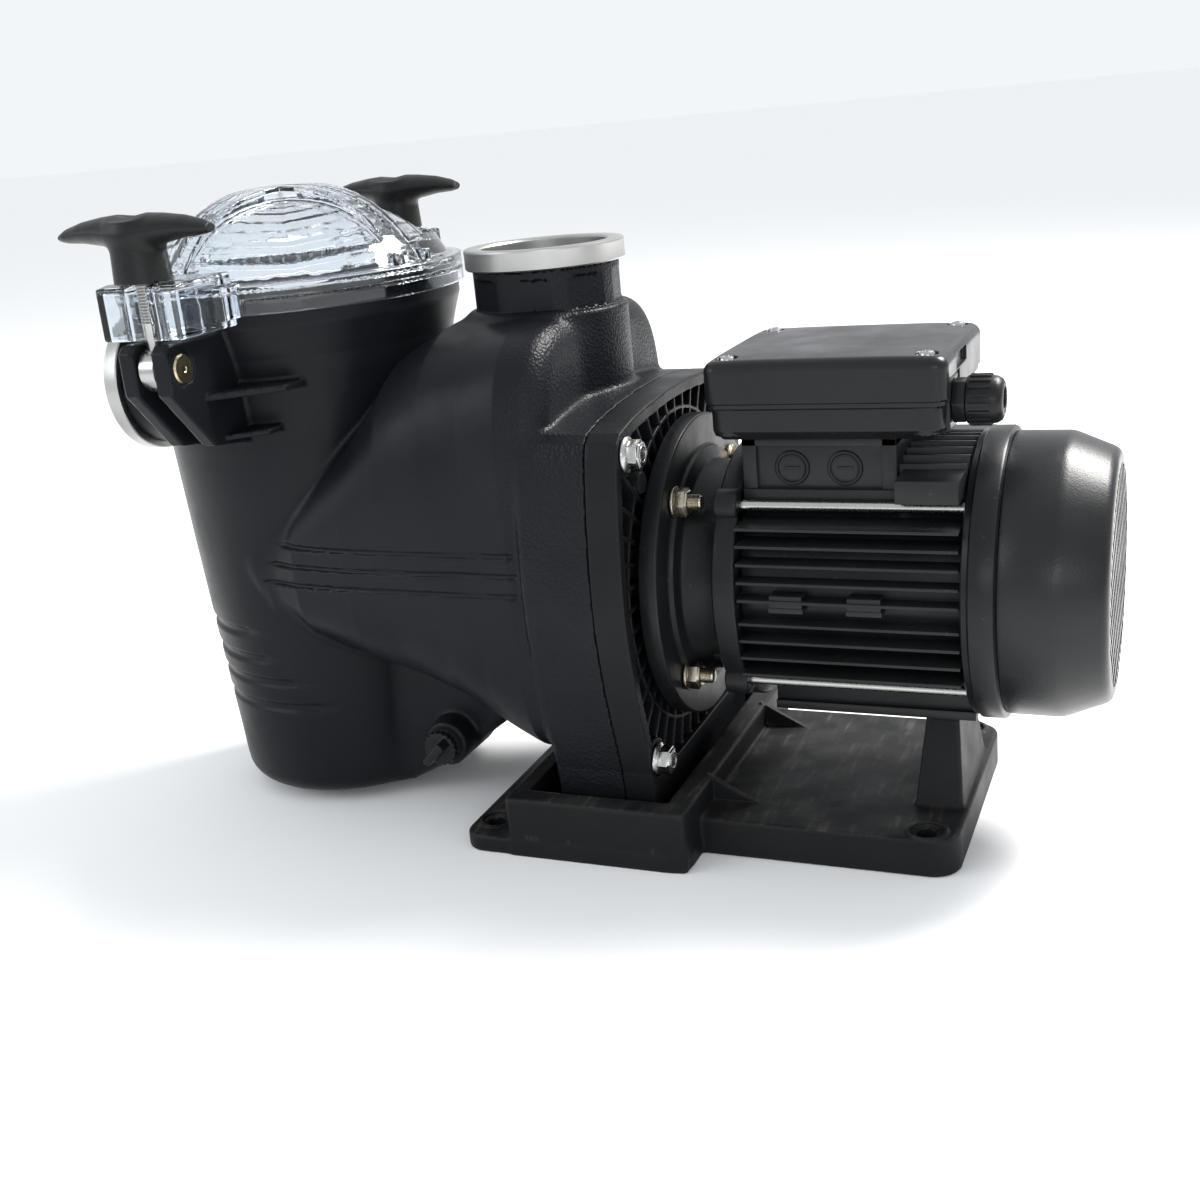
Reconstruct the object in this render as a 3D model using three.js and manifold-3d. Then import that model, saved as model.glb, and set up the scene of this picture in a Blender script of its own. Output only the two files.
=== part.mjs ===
// Self-priming pool pump: a plastic pump body with a built-in strainer pot and a clear lid,
// close-coupled to a finned, fan-cooled electric motor, on a moulded foot.
// Millimetres, +Z up. X runs along the shaft, from the suction port to the fan cover.
// Every piece is drawn about the shaft axis; the last group lifts the pump onto the floor.

import * as THREE from 'three';
import { mergeVertices } from 'three/addons/utils/BufferGeometryUtils.js';
import Module from 'manifold-3d';

// ---------------------------------------------------------------- driving dimensions

const SHAFT_HEIGHT = 133.7;        // shaft axis above the floor
const ORIGIN_SHIFT = 69.4;         // sets the origin under the middle of the overall length
const GAP = 0.3;                   // air left between two touching pieces

// strainer pot, lid and lid clamps
const POT_X = -234.5;
const POT_RIM_Z = 160;
const POT_RIM_R = 92;
const POT_MOUTH_R = 84;
const LID_R = 95.5;
const LID_SKIRT_Z = 151.6;
const LID_RING_TOP = 166.6;
const LID_TOP = 211.2;
const BOLT_Y = 125.3;              // clamp bolts stand this far out from the pot's middle
const PIVOT_Z = 132.3;             // hinge pins of the clamp bolts
const PIN_R = 7.5;
const CLEVIS_GAP = 11;
const CLEVIS_WALL = 9;
const EAR_FRONT = 134;
const EAR_TOP = 174.5;
const EAR_FOOT = 147.5;
const KNOB_FOOT = 174.9;
const KNOB_R = 13.4;
const KNOB_SPAN = 88;

// ports
const PORT_RING_R = 41.9;
const PORT_BORE_R = 33.3;
const PORT_NECK_R = 38;
const WATERWAY_R = 28;
const SUCTION_X = -346;
const SUCTION_Z = 106.3;
const SUCTION_RING = 9;
const DISCHARGE_X = -78.1;
const DISCHARGE_Z = 171.9;
const DISCHARGE_RING = 10.5;

// body flange, bracket and their bolts
const BODY_FLANGE_X = [-65, -27];
const BRACKET_X = [-27 + GAP, -10];
const FLANGE_BOLTS = [[-79, 78], [79, 78], [-72, -83], [72, -83]];
const SEAL_POCKET_R = 16.4;
const CHAMBER_R = 70;

// drain plug
const DRAIN_X = -143;
const DRAIN_Z = -93;
const DRAIN_FACE_Y = -56;

// motor, IEC frame 71 with a B5 flange
const MOTOR_FLANGE_R = 80;
const SPIGOT_R = 55;
const STUD_OFFSET = 45.96;         // four studs on a 130 mm circle
const SHIELD_RING_X = [23.5, 35];
const HOUSING_X = [35 + GAP, 142.8];
const HOUSING_R = 57;
const HOUSING_BORE_R = 50.3;
const FIN_REACH = 66;
const TIE_ROD = [47.4, 45.4];
const REAR_SHIELD_X = [143.1, 159.1];
const FAN_COVER_X = [159.4, 185, 207.2];
const FAN_COVER_R = [69.7, 60.2];
const SHAFT_R = 7;
const BEARING_R = 17.5;

// terminal box and cable gland
const BOX_X = 78.3;
const BOX_LID = [58, 52];          // half length and half width
const BOX_LID_Z = [93, 117];
const BOX_TRAY_Z = [77.3, 92.7];
const BOX_SCREWS = [47.5, 41.5];
const GLAND_Y = -30;
const GLAND_Z = 92.3;
const GLAND_WALL_TOP = 104;

// foot
const FLOOR_Z = -SHAFT_HEIGHT;
const FOOT_PLATE_TOP = -113.8;
const FOOT_PAD_TOP = -124.7;
const FOOT_BLOCK_TOP = -101;
const FOOT_FRONT = [-116, 11, 97.5];
const FOOT_REAR = [-12, 141, 73.8];
const FOOT_HOLES = [[-104, 77.5], [124.8, 63.5]];
const FOOT_HOLE_R = 5;
const MOTOR_FOOT_Z = -71;          // shaft height of the motor frame

// Facets on a full circle.
const BIG_ROUND = 24;
const ROUND = 20;
const MID_ROUND = 16;
const SMALL_ROUND = 12;
const TINY_ROUND = 8;

// ---------------------------------------------------------------- solids from geometry

const wasm = await Module();
wasm.setup();

function signedVolume(position, index) {
  let total = 0;
  const corner = [new THREE.Vector3(), new THREE.Vector3(), new THREE.Vector3()];
  for (let i = 0; i < index.length; i += 3) {
    corner.forEach((point, k) => point.fromArray(position, 3 * index[i + k]));
    total += corner[0].dot(corner[1].cross(corner[2]));
  }
  return total;
}

// Welds a geometry into a closed solid, drops its empty triangles and turns its faces out.
function solid(geometry) {
  geometry.deleteAttribute('normal');
  geometry.deleteAttribute('uv');
  const welded = mergeVertices(geometry);
  const position = welded.attributes.position.array;
  const source = welded.index.array;
  const index = [];
  for (let i = 0; i < source.length; i += 3) {
    const [a, b, c] = [source[i], source[i + 1], source[i + 2]];
    if (a !== b && b !== c && c !== a) {
      index.push(a, b, c);
    }
  }
  if (signedVolume(position, index) < 0) {
    index.reverse();
  }
  return new wasm.Manifold(new wasm.Mesh({
    numProp: 3,
    vertProperties: Float32Array.from(position),
    triVerts: Uint32Array.from(index),
  }));
}

function join(...solids) {
  return solids.reduce((sum, next) => sum.add(next));
}

function cut(body, ...tools) {
  return tools.reduce((rest, tool) => rest.subtract(tool), body);
}

function box([x0, x1], [y0, y1], [z0, z1]) {
  const geometry = new THREE.BoxGeometry(x1 - x0, y1 - y0, z1 - z0);
  geometry.translate((x0 + x1) / 2, (y0 + y1) / 2, (z0 + z1) / 2);
  return solid(geometry);
}

// A profile of [radius, height] pairs turned about an axis parallel to X, Y or Z.
function turned(axis, profile, centre = [0, 0], segments = ROUND) {
  const points = profile.map(([r, h]) => new THREE.Vector2(r, h));
  if (profile[0][0] > 0) {
    points.push(points[0].clone());
  }
  const geometry = new THREE.LatheGeometry(points, segments, Math.PI / segments);
  const [a, b] = centre;
  if (axis === 'x') {
    geometry.rotateZ(-Math.PI / 2);
    geometry.translate(0, a, b);
  } else if (axis === 'y') {
    geometry.translate(a, 0, b);
  } else {
    geometry.rotateX(Math.PI / 2);
    geometry.translate(a, b, 0);
  }
  return solid(geometry);
}

function rod(axis, radius, [from, to], centre, segments) {
  return turned(axis, [[0, from], [radius, from], [radius, to], [0, to]], centre, segments);
}

function ring(axis, outer, inner, [from, to], centre, segments) {
  const profile = [[inner, from], [outer, from], [outer, to], [inner, to]];
  return turned(axis, profile, centre, segments);
}

// An outline pushed along X (outline in Y, Z), Y (outline in X, Z) or Z (outline in X, Y).
function slab(axis, outline, [from, to]) {
  const shape = new THREE.Shape(outline.map(([u, v]) => new THREE.Vector2(u, v)));
  const geometry = new THREE.ExtrudeGeometry(shape, { depth: to - from, bevelEnabled: false });
  const turn = new THREE.Matrix4();
  const [x, y, z] = [[1, 0, 0], [0, 1, 0], [0, 0, 1]].map((v) => new THREE.Vector3(...v));
  if (axis === 'x') {
    geometry.applyMatrix4(turn.makeBasis(y, z, x));
    geometry.translate(from, 0, 0);
  } else if (axis === 'y') {
    geometry.applyMatrix4(turn.makeBasis(x, z, y.negate()));
    geometry.translate(0, to, 0);
  } else {
    geometry.translate(0, 0, from);
  }
  return solid(geometry);
}

// A skin over rings of points that all have the same count, with flat ends.
function loft(rings) {
  const count = rings[0].length;
  const last = rings.length - 1;
  const index = [];
  for (let j = 0; j < last; j += 1) {
    for (let i = 0; i < count; i += 1) {
      const [a, b] = [j * count + i, j * count + ((i + 1) % count)];
      index.push(a, b, a + count, b, b + count, a + count);
    }
  }
  for (let i = 1; i < count - 1; i += 1) {
    index.push(0, i + 1, i);
    index.push(last * count, last * count + i, last * count + i + 1);
  }
  const geometry = new THREE.BufferGeometry();
  geometry.setAttribute('position', new THREE.Float32BufferAttribute(rings.flat(2), 3));
  geometry.setIndex(index);
  return solid(geometry);
}

function hexagon(acrossFlats, [u, v] = [0, 0]) {
  const reach = acrossFlats / Math.sqrt(3);
  return Array.from({ length: 6 }, (_, i) => {
    const angle = (i * Math.PI) / 3;
    return [u + reach * Math.cos(angle), v + reach * Math.sin(angle)];
  });
}

function roundedRectangle([u0, u1], [v0, v1], radius, steps = 3) {
  const corners = [[u1 - radius, v1 - radius], [u0 + radius, v1 - radius],
    [u0 + radius, v0 + radius], [u1 - radius, v0 + radius]];
  return corners.flatMap(([u, v], k) => Array.from({ length: steps + 1 }, (_, i) => {
    const angle = (k + i / steps) * Math.PI / 2;
    return [u + radius * Math.cos(angle), v + radius * Math.sin(angle)];
  }));
}

const BOTH_SIDES = [-1, 1];
const pump = new THREE.Group();

function place(name, body, color, roughness, metalness = 0) {
  const { vertProperties, triVerts, numProp } = body.getMesh();
  const geometry = new THREE.BufferGeometry();
  const corners = new Float32Array((vertProperties.length / numProp) * 3);
  corners.forEach((_, i) => {
    corners[i] = vertProperties[Math.floor(i / 3) * numProp + (i % 3)];
  });
  geometry.setAttribute('position', new THREE.BufferAttribute(corners, 3));
  geometry.setIndex(new THREE.BufferAttribute(triVerts, 1));
  geometry.computeVertexNormals();
  const material = new THREE.MeshStandardMaterial({ color, roughness, metalness });
  const mesh = new THREE.Mesh(geometry, material);
  mesh.name = name;
  pump.add(mesh);
}

const BLACK_PLASTIC = 0x15171a;
const MOTOR_PAINT = 0x1b1e22;
const STEEL = 0xb9bcc0;
const BRASS = 0xb5904a;
const RUBBER = 0x101010;

// ---------------------------------------------------------------- pump body

// One half of the flange's barrel-shaped outline, from its foot to its crown.
const FLANGE_HALF = [[76, -122], [80, -88], [86.6, -63], [95, -30], [98.3, 5], [95.5, 50],
  [90, 82], [84, 89], [45, 95], [15, 97]];

function flangeOutline(inset = 0) {
  const half = FLANGE_HALF.map(([y, z]) => [y - inset, z - Math.sign(z) * inset]);
  return [...half, ...half.toReversed().map(([y, z]) => [-y, z])];
}

// Half width, top and bottom of the volute's swelling as it grows out of the pot.
const VOLUTE_STATIONS = [[-238, 72, 24, 4], [-205, 85, 60, -34], [-170, 89, 94, -52],
  [-140, 91, 124, -64], [-110, 92, 138, -76], [-64.5, 96, 138, -84]];

function voluteRing([x, width, top, bottom]) {
  const count = 16;
  const squareness = 2 / 3;
  const bulge = (value) => Math.sign(value) * Math.abs(value) ** squareness;
  return Array.from({ length: count }, (_, i) => {
    const angle = (2 * Math.PI * (i + 0.5)) / count;
    const z = (top + bottom) / 2 + ((top - bottom) / 2) * bulge(Math.sin(angle));
    return [x, width * bulge(Math.cos(angle)), z];
  });
}

const POT_PROFILE = [[0, -128], [57, -128], [66, -122], [70.7, -88], [80.4, 74], [84, 112],
  [POT_RIM_R, 145], [POT_RIM_R, POT_RIM_Z], [0, POT_RIM_Z]];
const POT_CAVITY = [[0, -121], [61, -121], [66, -88], [75.8, 74], [79, 112],
  [POT_MOUTH_R, 138], [POT_MOUTH_R, POT_RIM_Z + 1], [0, POT_RIM_Z + 1]];
const CLEVIS_OUTLINE = [[75, 146], [135, 146], [138, 142], [138, 121], [111, 90], [75, 86]];
const DRAIN_WEB = [[-235, -60], [-107, -60], [-107, -80], [-150, -112], [-178, -127],
  [-235, -127]];

function clevis(side) {
  const outline = CLEVIS_OUTLINE.map(([y, z]) => [side * y, z]);
  const walls = BOTH_SIDES.map((hand) => {
    const near = POT_X + (hand * CLEVIS_GAP) / 2;
    const far = near + hand * CLEVIS_WALL;
    const brace = [[near, side * 70], [far, side * 112], [far + hand * 32, side * 88],
      [far + hand * 32, side * 60]];
    return join(slab('x', outline, [Math.min(near, far), Math.max(near, far)]),
      slab('z', brace, [113.5, 116.5]));
  });
  const pinHole = rod('x', PIN_R + GAP, [POT_X - 20, POT_X + 20], [side * BOLT_Y, PIVOT_Z],
    SMALL_ROUND);
  return cut(join(...walls), pinHole);
}

function makePumpBody() {
  const flange = slab('x', flangeOutline(), BODY_FLANGE_X);
  const outside = join(
    turned('z', POT_PROFILE, [POT_X, 0], BIG_ROUND),
    loft(VOLUTE_STATIONS.map(voluteRing)),
    flange,
    slab('y', DRAIN_WEB, [-42, 42]),
    rod('y', 13, [DRAIN_FACE_Y, -20], [DRAIN_X, DRAIN_Z], SMALL_ROUND),
    rod('x', PORT_NECK_R, [SUCTION_X + SUCTION_RING + GAP, POT_X - 60], [0, SUCTION_Z]),
    rod('z', PORT_NECK_R, [60, DISCHARGE_Z - DISCHARGE_RING - GAP], [DISCHARGE_X, 0]),
    ...BOTH_SIDES.map(clevis),
  );
  const [flangeFront, flangeRear] = BODY_FLANGE_X;
  const boltHoles = FLANGE_BOLTS.map((at) => rod('x', 4.3, [-60, flangeRear + 1], at, TINY_ROUND));
  return cut(outside,
    turned('z', POT_CAVITY, [POT_X, 0], BIG_ROUND),
    rod('x', WATERWAY_R, [SUCTION_X, POT_X - 60], [0, SUCTION_Z], MID_ROUND),
    rod('x', CHAMBER_R, [-100, flangeRear + 1]),
    rod('x', 50, [-135, flangeFront]),
    rod('x', 24, [-180, -120], [0, 0], MID_ROUND),
    rod('z', WATERWAY_R, [50, DISCHARGE_Z], [DISCHARGE_X, 0], MID_ROUND),
    rod('y', 7.3, [DRAIN_FACE_Y - 1, -12], [DRAIN_X, DRAIN_Z], MID_ROUND),
    rod('x', 8, [POT_X + 40, DRAIN_X + 8], [-20, DRAIN_Z], SMALL_ROUND),
    ...boltHoles);
}

function makePorts() {
  place('suction_ring', ring('x', PORT_RING_R, PORT_BORE_R,
    [SUCTION_X, SUCTION_X + SUCTION_RING], [0, SUCTION_Z]), STEEL, 0.35, 1);
  place('discharge_ring', ring('z', PORT_RING_R, PORT_BORE_R,
    [DISCHARGE_Z - DISCHARGE_RING, DISCHARGE_Z], [DISCHARGE_X, 0]), STEEL, 0.35, 1);
}

function makeDrainPlug() {
  const sealFace = DRAIN_FACE_Y - GAP;
  const capFace = sealFace - 2 - GAP;
  const at = [DRAIN_X, DRAIN_Z];
  const plug = join(
    turned('y', [[0, capFace - 4.5], [9, capFace - 4.5], [10, capFace - 3], [10, capFace],
      [6.9, capFace], [6.9, -30], [0, -30]], at, SMALL_ROUND),
    box([DRAIN_X - 2.5, DRAIN_X + 2.5], [capFace - 14, capFace - 4], [DRAIN_Z - 8, DRAIN_Z + 8]),
  );
  place('drain_plug', plug, BLACK_PLASTIC, 0.5);
  place('drain_plug_seal', ring('y', 9.8, 7.2, [sealFace - 2, sealFace], at, SMALL_ROUND),
    RUBBER, 0.8);
}

// ---------------------------------------------------------------- strainer, lid and clamps

const DOME_OUTSIDE = [[0, LID_TOP], [22, 210.2], [42, 206], [60, 198], [74, 187], [83, 176],
  [88, LID_RING_TOP]];
const DOME_INSIDE = [[84, 163.3], [80, 173], [71, 184], [57.5, 195], [40, 203], [21, 207],
  [0, 208.2]];

function ear(side) {
  const outline = [[86, EAR_FOOT], [EAR_FRONT, EAR_FOOT], [EAR_FRONT, EAR_TOP - 1.2],
    [BOLT_Y, EAR_TOP], [86, EAR_TOP]].map(([y, z]) => [side * y, z]);
  const root = [[86, EAR_FOOT + 4], [106, EAR_FOOT + 4], [106, LID_RING_TOP + 2],
    [86, LID_RING_TOP + 2]].map(([y, z]) => [side * y, z]);
  const fork = [side * (BOLT_Y - 1), side * (EAR_FRONT + 1)].sort((a, b) => a - b);
  const slotEnds = join(box([POT_X - 6, POT_X + 6], fork, [EAR_FOOT - 1, EAR_TOP + 1]),
    rod('z', 6, [EAR_FOOT - 1, EAR_TOP + 1], [POT_X, side * BOLT_Y], SMALL_ROUND));
  return cut(join(slab('x', outline, [POT_X - 24, POT_X + 24]),
    slab('x', root, [POT_X - 28.5, POT_X + 28.5])), slotEnds);
}

function makeLid() {
  const shell = turned('z', [...DOME_OUTSIDE, [LID_R, LID_RING_TOP], [LID_R, LID_SKIRT_Z],
    [POT_RIM_R + 0.5, LID_SKIRT_Z], [POT_RIM_R + 0.5, 163.3], ...DOME_INSIDE], [POT_X, 0], BIG_ROUND);
  const seat = rod('z', POT_RIM_R + 0.5, [EAR_FOOT - 5, 163.3], [POT_X, 0], BIG_ROUND);
  place('strainer_lid', join(shell, ...BOTH_SIDES.map((side) => cut(ear(side), seat))),
    0xdfe8f2, 0.08);
  place('lid_seal', ring('z', 91.5, 85, [POT_RIM_Z + GAP, 163.3 - GAP], [POT_X, 0]),
    RUBBER, 0.8);
}

function makeBasket() {
  const wall = turned('z', [[0, -104], [52, -104], [70, 60], [74, 132], [78, 132],
    [78, 135], [71.5, 135], [67.5, 60], [50, -101.5], [0, -101.5]], [POT_X, 0]);
  const windows = Array.from({ length: 8 }, (_, i) => {
    const geometry = new THREE.BoxGeometry(30, 13, 58);
    geometry.translate(64, 0, 0);
    geometry.rotateZ((i * Math.PI) / 4 + Math.PI / 8);
    geometry.translate(POT_X, 0, 85);
    return solid(geometry);
  });
  place('strainer_basket', cut(wall, ...windows), 0xd9dcdf, 0.5);
}

function makeClampBolt(side, end) {
  const at = [POT_X, side * BOLT_Y];
  const half = CLEVIS_GAP / 2 - GAP;
  const pivot = [side * BOLT_Y, PIVOT_Z];
  const eye = join(rod('x', 11, [POT_X - half, POT_X + half], pivot, SMALL_ROUND),
    rod('z', 4.8, [PIVOT_Z, 198], at, SMALL_ROUND));
  const bore = rod('x', PIN_R + GAP, [POT_X - 9, POT_X + 9], pivot, SMALL_ROUND);
  place(`eye_bolt_${end}`, cut(eye, bore), STEEL, 0.3, 1);
  const pinHalf = CLEVIS_GAP / 2 + CLEVIS_WALL + 0.4;
  place(`clamp_pin_${end}`, rod('x', PIN_R, [POT_X - pinHalf, POT_X + pinHalf], pivot,
    SMALL_ROUND), BRASS, 0.3, 1);
  place(`knob_insert_${end}`, ring('z', 7.9, 5.1, [KNOB_FOOT, KNOB_FOOT + 17], at, SMALL_ROUND),
    BRASS, 0.35, 1);
  const handle = [[-KNOB_SPAN / 2, 4.5, 200.5, 2.4], [-28, 8, 201.5, 4.6], [-13, 11, 202.5, 5.2],
    [0, 12, 203, 5.2], [13, 11, 202.5, 5.2], [28, 8, 201.5, 4.6],
    [KNOB_SPAN / 2, 4.5, 200.5, 2.4]].map(([dx, width, z, height]) => (
    Array.from({ length: 12 }, (_, i) => {
      const angle = (i * Math.PI) / 6;
      return [POT_X + dx, side * BOLT_Y + width * Math.cos(angle), z + height * Math.sin(angle)];
    })));
  const barrel = turned('z', [[0, KNOB_FOOT], [KNOB_R, KNOB_FOOT], [12, 203], [0, 203]], at, SMALL_ROUND);
  const socket = rod('z', 8.2, [KNOB_FOOT - 1, 201], at, SMALL_ROUND);
  place(`knob_${end}`, cut(join(barrel, loft(handle)), socket), BLACK_PLASTIC, 0.45);
}

// ---------------------------------------------------------------- bracket and wet end

function makeBracket() {
  const [front, rear] = BRACKET_X;
  const pocketFloor = rear - 11;
  const plate = slab('x', flangeOutline(), BRACKET_X);
  const pocket = cut(slab('x', flangeOutline(6).map(([y, z]) => [y, Math.max(z, -92)]),
    [pocketFloor, rear + 1]), rod('x', 62, [front, rear + 2]));
  const bosses = FLANGE_BOLTS.map((at) => rod('x', 11, [front, rear], at, SMALL_ROUND));
  const ribs = Array.from({ length: 12 }, (_, i) => {
    const geometry = new THREE.BoxGeometry(8, 2.4, 120);
    geometry.translate(0, 0, 60);
    geometry.rotateX(((i + 0.5) * Math.PI) / 6);
    geometry.translate(rear - 7, 0, 0);
    return solid(geometry);
  });
  const trimmed = cut(pocket, ...bosses, ...ribs);
  const spigot = rod('x', CHAMBER_R - 0.5, [front - 9, front + 1]);
  const groove = ring('x', CHAMBER_R + 1, CHAMBER_R - 4, [front - 6.5, front - 3]);
  return cut(join(cut(plate, trimmed), cut(spigot, groove)),
    rod('x', SPIGOT_R + GAP, [rear - 4, rear + 1]),
    rod('x', 22, [front, rear]),
    rod('x', SEAL_POCKET_R, [front - 20, front + 1]),
    ...FLANGE_BOLTS.map((at) => rod('x', 4.3, [front - 1, rear + 1], at, TINY_ROUND)),
    ...studPlaces().map((at) => rod('x', 4.3, [-22, rear + 1], at, TINY_ROUND)));
}

function studPlaces() {
  return BOTH_SIDES.flatMap((z) => BOTH_SIDES.map((y) => [y * STUD_OFFSET, z * STUD_OFFSET]));
}

function makeFlangeBolt([y, z]) {
  const seat = BRACKET_X[1] + GAP;
  return join(rod('x', 3.9, [-56, seat + 1], [y, z], TINY_ROUND),
    rod('x', 9, [seat, seat + 1.8], [y, z], SMALL_ROUND),
    slab('x', hexagon(13, [y, z]), [seat + 1.5, seat + 9]));
}

function makeStud([y, z]) {
  return join(rod('x', 3.9, [-20, 15], [y, z], TINY_ROUND),
    rod('x', 8, [GAP, 2], [y, z], SMALL_ROUND),
    slab('x', hexagon(13, [y, z]), [1.8, 8.6]));
}

function makeImpeller() {
  const radius = 52;
  const vanes = Array.from({ length: 6 }, (_, i) => {
    const curve = (bow, angle) => {
      const reach = 16 + (radius - 18) * angle;
      const turn = (i * Math.PI) / 3 - angle * 1.1;
      return [(reach + bow) * Math.cos(turn), (reach + bow) * Math.sin(turn)];
    };
    const steps = [0, 0.5, 1];
    const outer = steps.map((s) => curve(1.6, s));
    const inner = steps.toReversed().map((s) => curve(-1.6, s));
    return slab('x', [...outer, ...inner], [-66, -53]);
  });
  const backPlate = rod('x', radius, [-54, -50]);
  const shroud = turned('x', [[20, -80], [23, -80], [23, -70], [radius, -67], [radius, -64.5],
    [20, -66]]);
  const hub = rod('x', 13, [-72, -49.5], [0, 0], MID_ROUND);
  return cut(join(backPlate, shroud, hub, ...vanes),
    rod('x', SHAFT_R + GAP, [-71, -40], [0, 0], SMALL_ROUND));
}

function makeDiffuser() {
  const shell = turned('x', [[24, -92], [60, -92], [66, -84], [66, -46], [62.5, -46],
    [62.5, -80], [57, -86], [30, -86], [30, -78], [24, -78]]);
  const windows = Array.from({ length: 6 }, (_, i) => {
    const geometry = new THREE.BoxGeometry(14, 26, 30);
    geometry.translate(-64, 0, 64);
    geometry.rotateX((i * Math.PI) / 3);
    return solid(geometry);
  });
  return cut(shell, ...windows);
}

function makeWetEnd() {
  place('bracket', makeBracket(), BLACK_PLASTIC, 0.5);
  const [front] = BRACKET_X;
  place('body_seal', ring('x', CHAMBER_R - 0.4, CHAMBER_R - 3.6, [front - 6.1, front - 3.4]),
    RUBBER, 0.8);
  place('diffuser', makeDiffuser(), 0x2a2d30, 0.5);
  place('impeller', makeImpeller(), 0x202326, 0.5);
  place('seal_seat', ring('x', 16, 8, [-33, -27]), 0xd8d4cc, 0.3);
  place('seal_rotor', ring('x', 14, SHAFT_R + GAP, [-48, -33.4]), 0x3a3a3c, 0.4);
  FLANGE_BOLTS.forEach((at, i) => place(`flange_bolt_${i + 1}`, makeFlangeBolt(at), STEEL, 0.3, 1));
  studPlaces().forEach((at, i) => place(`motor_stud_${i + 1}`, makeStud(at), 0xc9b37c, 0.35, 1));
}

// ---------------------------------------------------------------- motor

function tieRodPlaces() {
  return BOTH_SIDES.flatMap((z) => BOTH_SIDES.map((y) => [y * TIE_ROD[0], z * TIE_ROD[1]]));
}

function makeMotorFlange() {
  const [ringFront, ringRear] = SHIELD_RING_X;
  const shell = turned('x', [[SHAFT_R + 3, -13.5], [SPIGOT_R, -13.5], [SPIGOT_R, BRACKET_X[1] + 0.1],
    [MOTOR_FLANGE_R, BRACKET_X[1] + GAP], [MOTOR_FLANGE_R, 0], [56, 0], [56, ringFront],
    [67.5, ringFront], [67.5, ringRear], [52, ringRear], [50, 21], [48, 19],
    [BEARING_R + GAP, 19], [BEARING_R + GAP, 5], [SHAFT_R + 3, 5]]);
  const lugs = tieRodPlaces().map((at) => rod('x', 7.5, SHIELD_RING_X, at, SMALL_ROUND));
  return cut(join(shell, ...lugs),
    ...studPlaces().map((at) => rod('x', 4.3, [-20, 2], at, TINY_ROUND)),
    ...tieRodPlaces().map((at) => rod('x', 2.9, [ringFront - 1, ringRear + 1], at, TINY_ROUND)));
}

function makeHousing() {
  const [front, rear] = HOUSING_X;
  const finHeights = [-37, -28, -19, -10, 2, 11, 20, 29, 37.5];
  const sideFins = BOTH_SIDES.flatMap((side) => finHeights.map((z) => {
    const reach = [side * 30, side * (FIN_REACH - (z * z) / 700)].sort((a, b) => a - b);
    return box([front, rear], reach, [z - 1.2, z + 1.2]);
  }));
  const topFins = [-36, -27, -18, -9, 0, 9, 18, 27, 36].map((y) => (
    box([front, rear], [y - 1.2, y + 1.2], [30, 68 - (y * y) / 280])));
  const neck = box([36, 111], [-44, 44], [40, 77]);
  const footStrip = box([front + 5, rear], [-24, 24], [MOTOR_FOOT_Z, -48]);
  const core = rod('x', HOUSING_R, HOUSING_X);
  const sideTabs = BOTH_SIDES.flatMap((side) => [60, 98].map((x) => {
    const reach = [side * 50, side * 65.5].sort((a, b) => a - b);
    return box([x - 8, x + 8], reach, [-3, 6]);
  }));
  const pads = BOTH_SIDES.map((side) => {
    const reach = [side * 30, side * 60].sort((a, b) => a - b);
    return box([113, rear - 1], reach, [50, 61]);
  });
  return cut(join(core, neck, footStrip, ...topFins, ...sideFins, ...sideTabs, ...pads),
    rod('x', HOUSING_BORE_R, [front - 1, rear + 1]),
    box([56, 92], [-22, 22], [45, 78]));
}

function makeRearShield() {
  const [front, rear] = REAR_SHIELD_X;
  const shell = turned('x', [[SHAFT_R + GAP, rear], [SHAFT_R + GAP, rear - 3],
    [BEARING_R + GAP, rear - 3], [BEARING_R + GAP, front + 1.5], [21, front + 1.5],
    [21, front + 8], [62, front + 8], [62, front], [70.5, front], [72.3, front + 3],
    [72.3, rear - 1.5], [69.7, rear]]);
  return cut(shell, ...tieRodPlaces().map((at) => rod('x', 2.9, [front - 1, front + 12], at, TINY_ROUND)));
}

function makeFan() {
  const [, , end] = FAN_COVER_X;
  const back = end - 10;
  const blades = Array.from({ length: 8 }, (_, i) => {
    const geometry = new THREE.BoxGeometry(back - 168, 3, 42);
    geometry.translate((back + 168) / 2, 0, 32);
    geometry.rotateX((i * Math.PI) / 4);
    return solid(geometry);
  });
  const hub = rod('x', 15, [166, back], [0, 0], MID_ROUND);
  const disc = rod('x', 53, [166, 168.6]);
  return cut(join(hub, disc, ...blades), rod('x', SHAFT_R + GAP, [160, 188], [0, 0], SMALL_ROUND));
}

function makeFanCover() {
  const [front, shoulder, end] = FAN_COVER_X;
  const [wide, narrow] = FAN_COVER_R;
  const wall = 2.5;
  const shell = turned('x', [[0, end - wall], [narrow - wall, end - wall], [wide - wall, shoulder],
    [wide - wall, front], [wide, front], [wide, shoulder], [narrow, end], [0, end]]);
  const slots = [[18, 32], [38, 53]].map(([inner, outer]) => (
    ring('x', outer, inner, [end - 4, end + 1])));
  const spokes = Array.from({ length: 4 }, (_, i) => {
    const geometry = new THREE.BoxGeometry(8, 3, 130);
    geometry.rotateX((i * Math.PI) / 4);
    geometry.translate(end - 1, 0, 0);
    return solid(geometry);
  });
  const vents = slots.map((slot) => cut(slot, ...spokes));
  return cut(shell, ...vents);
}

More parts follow.
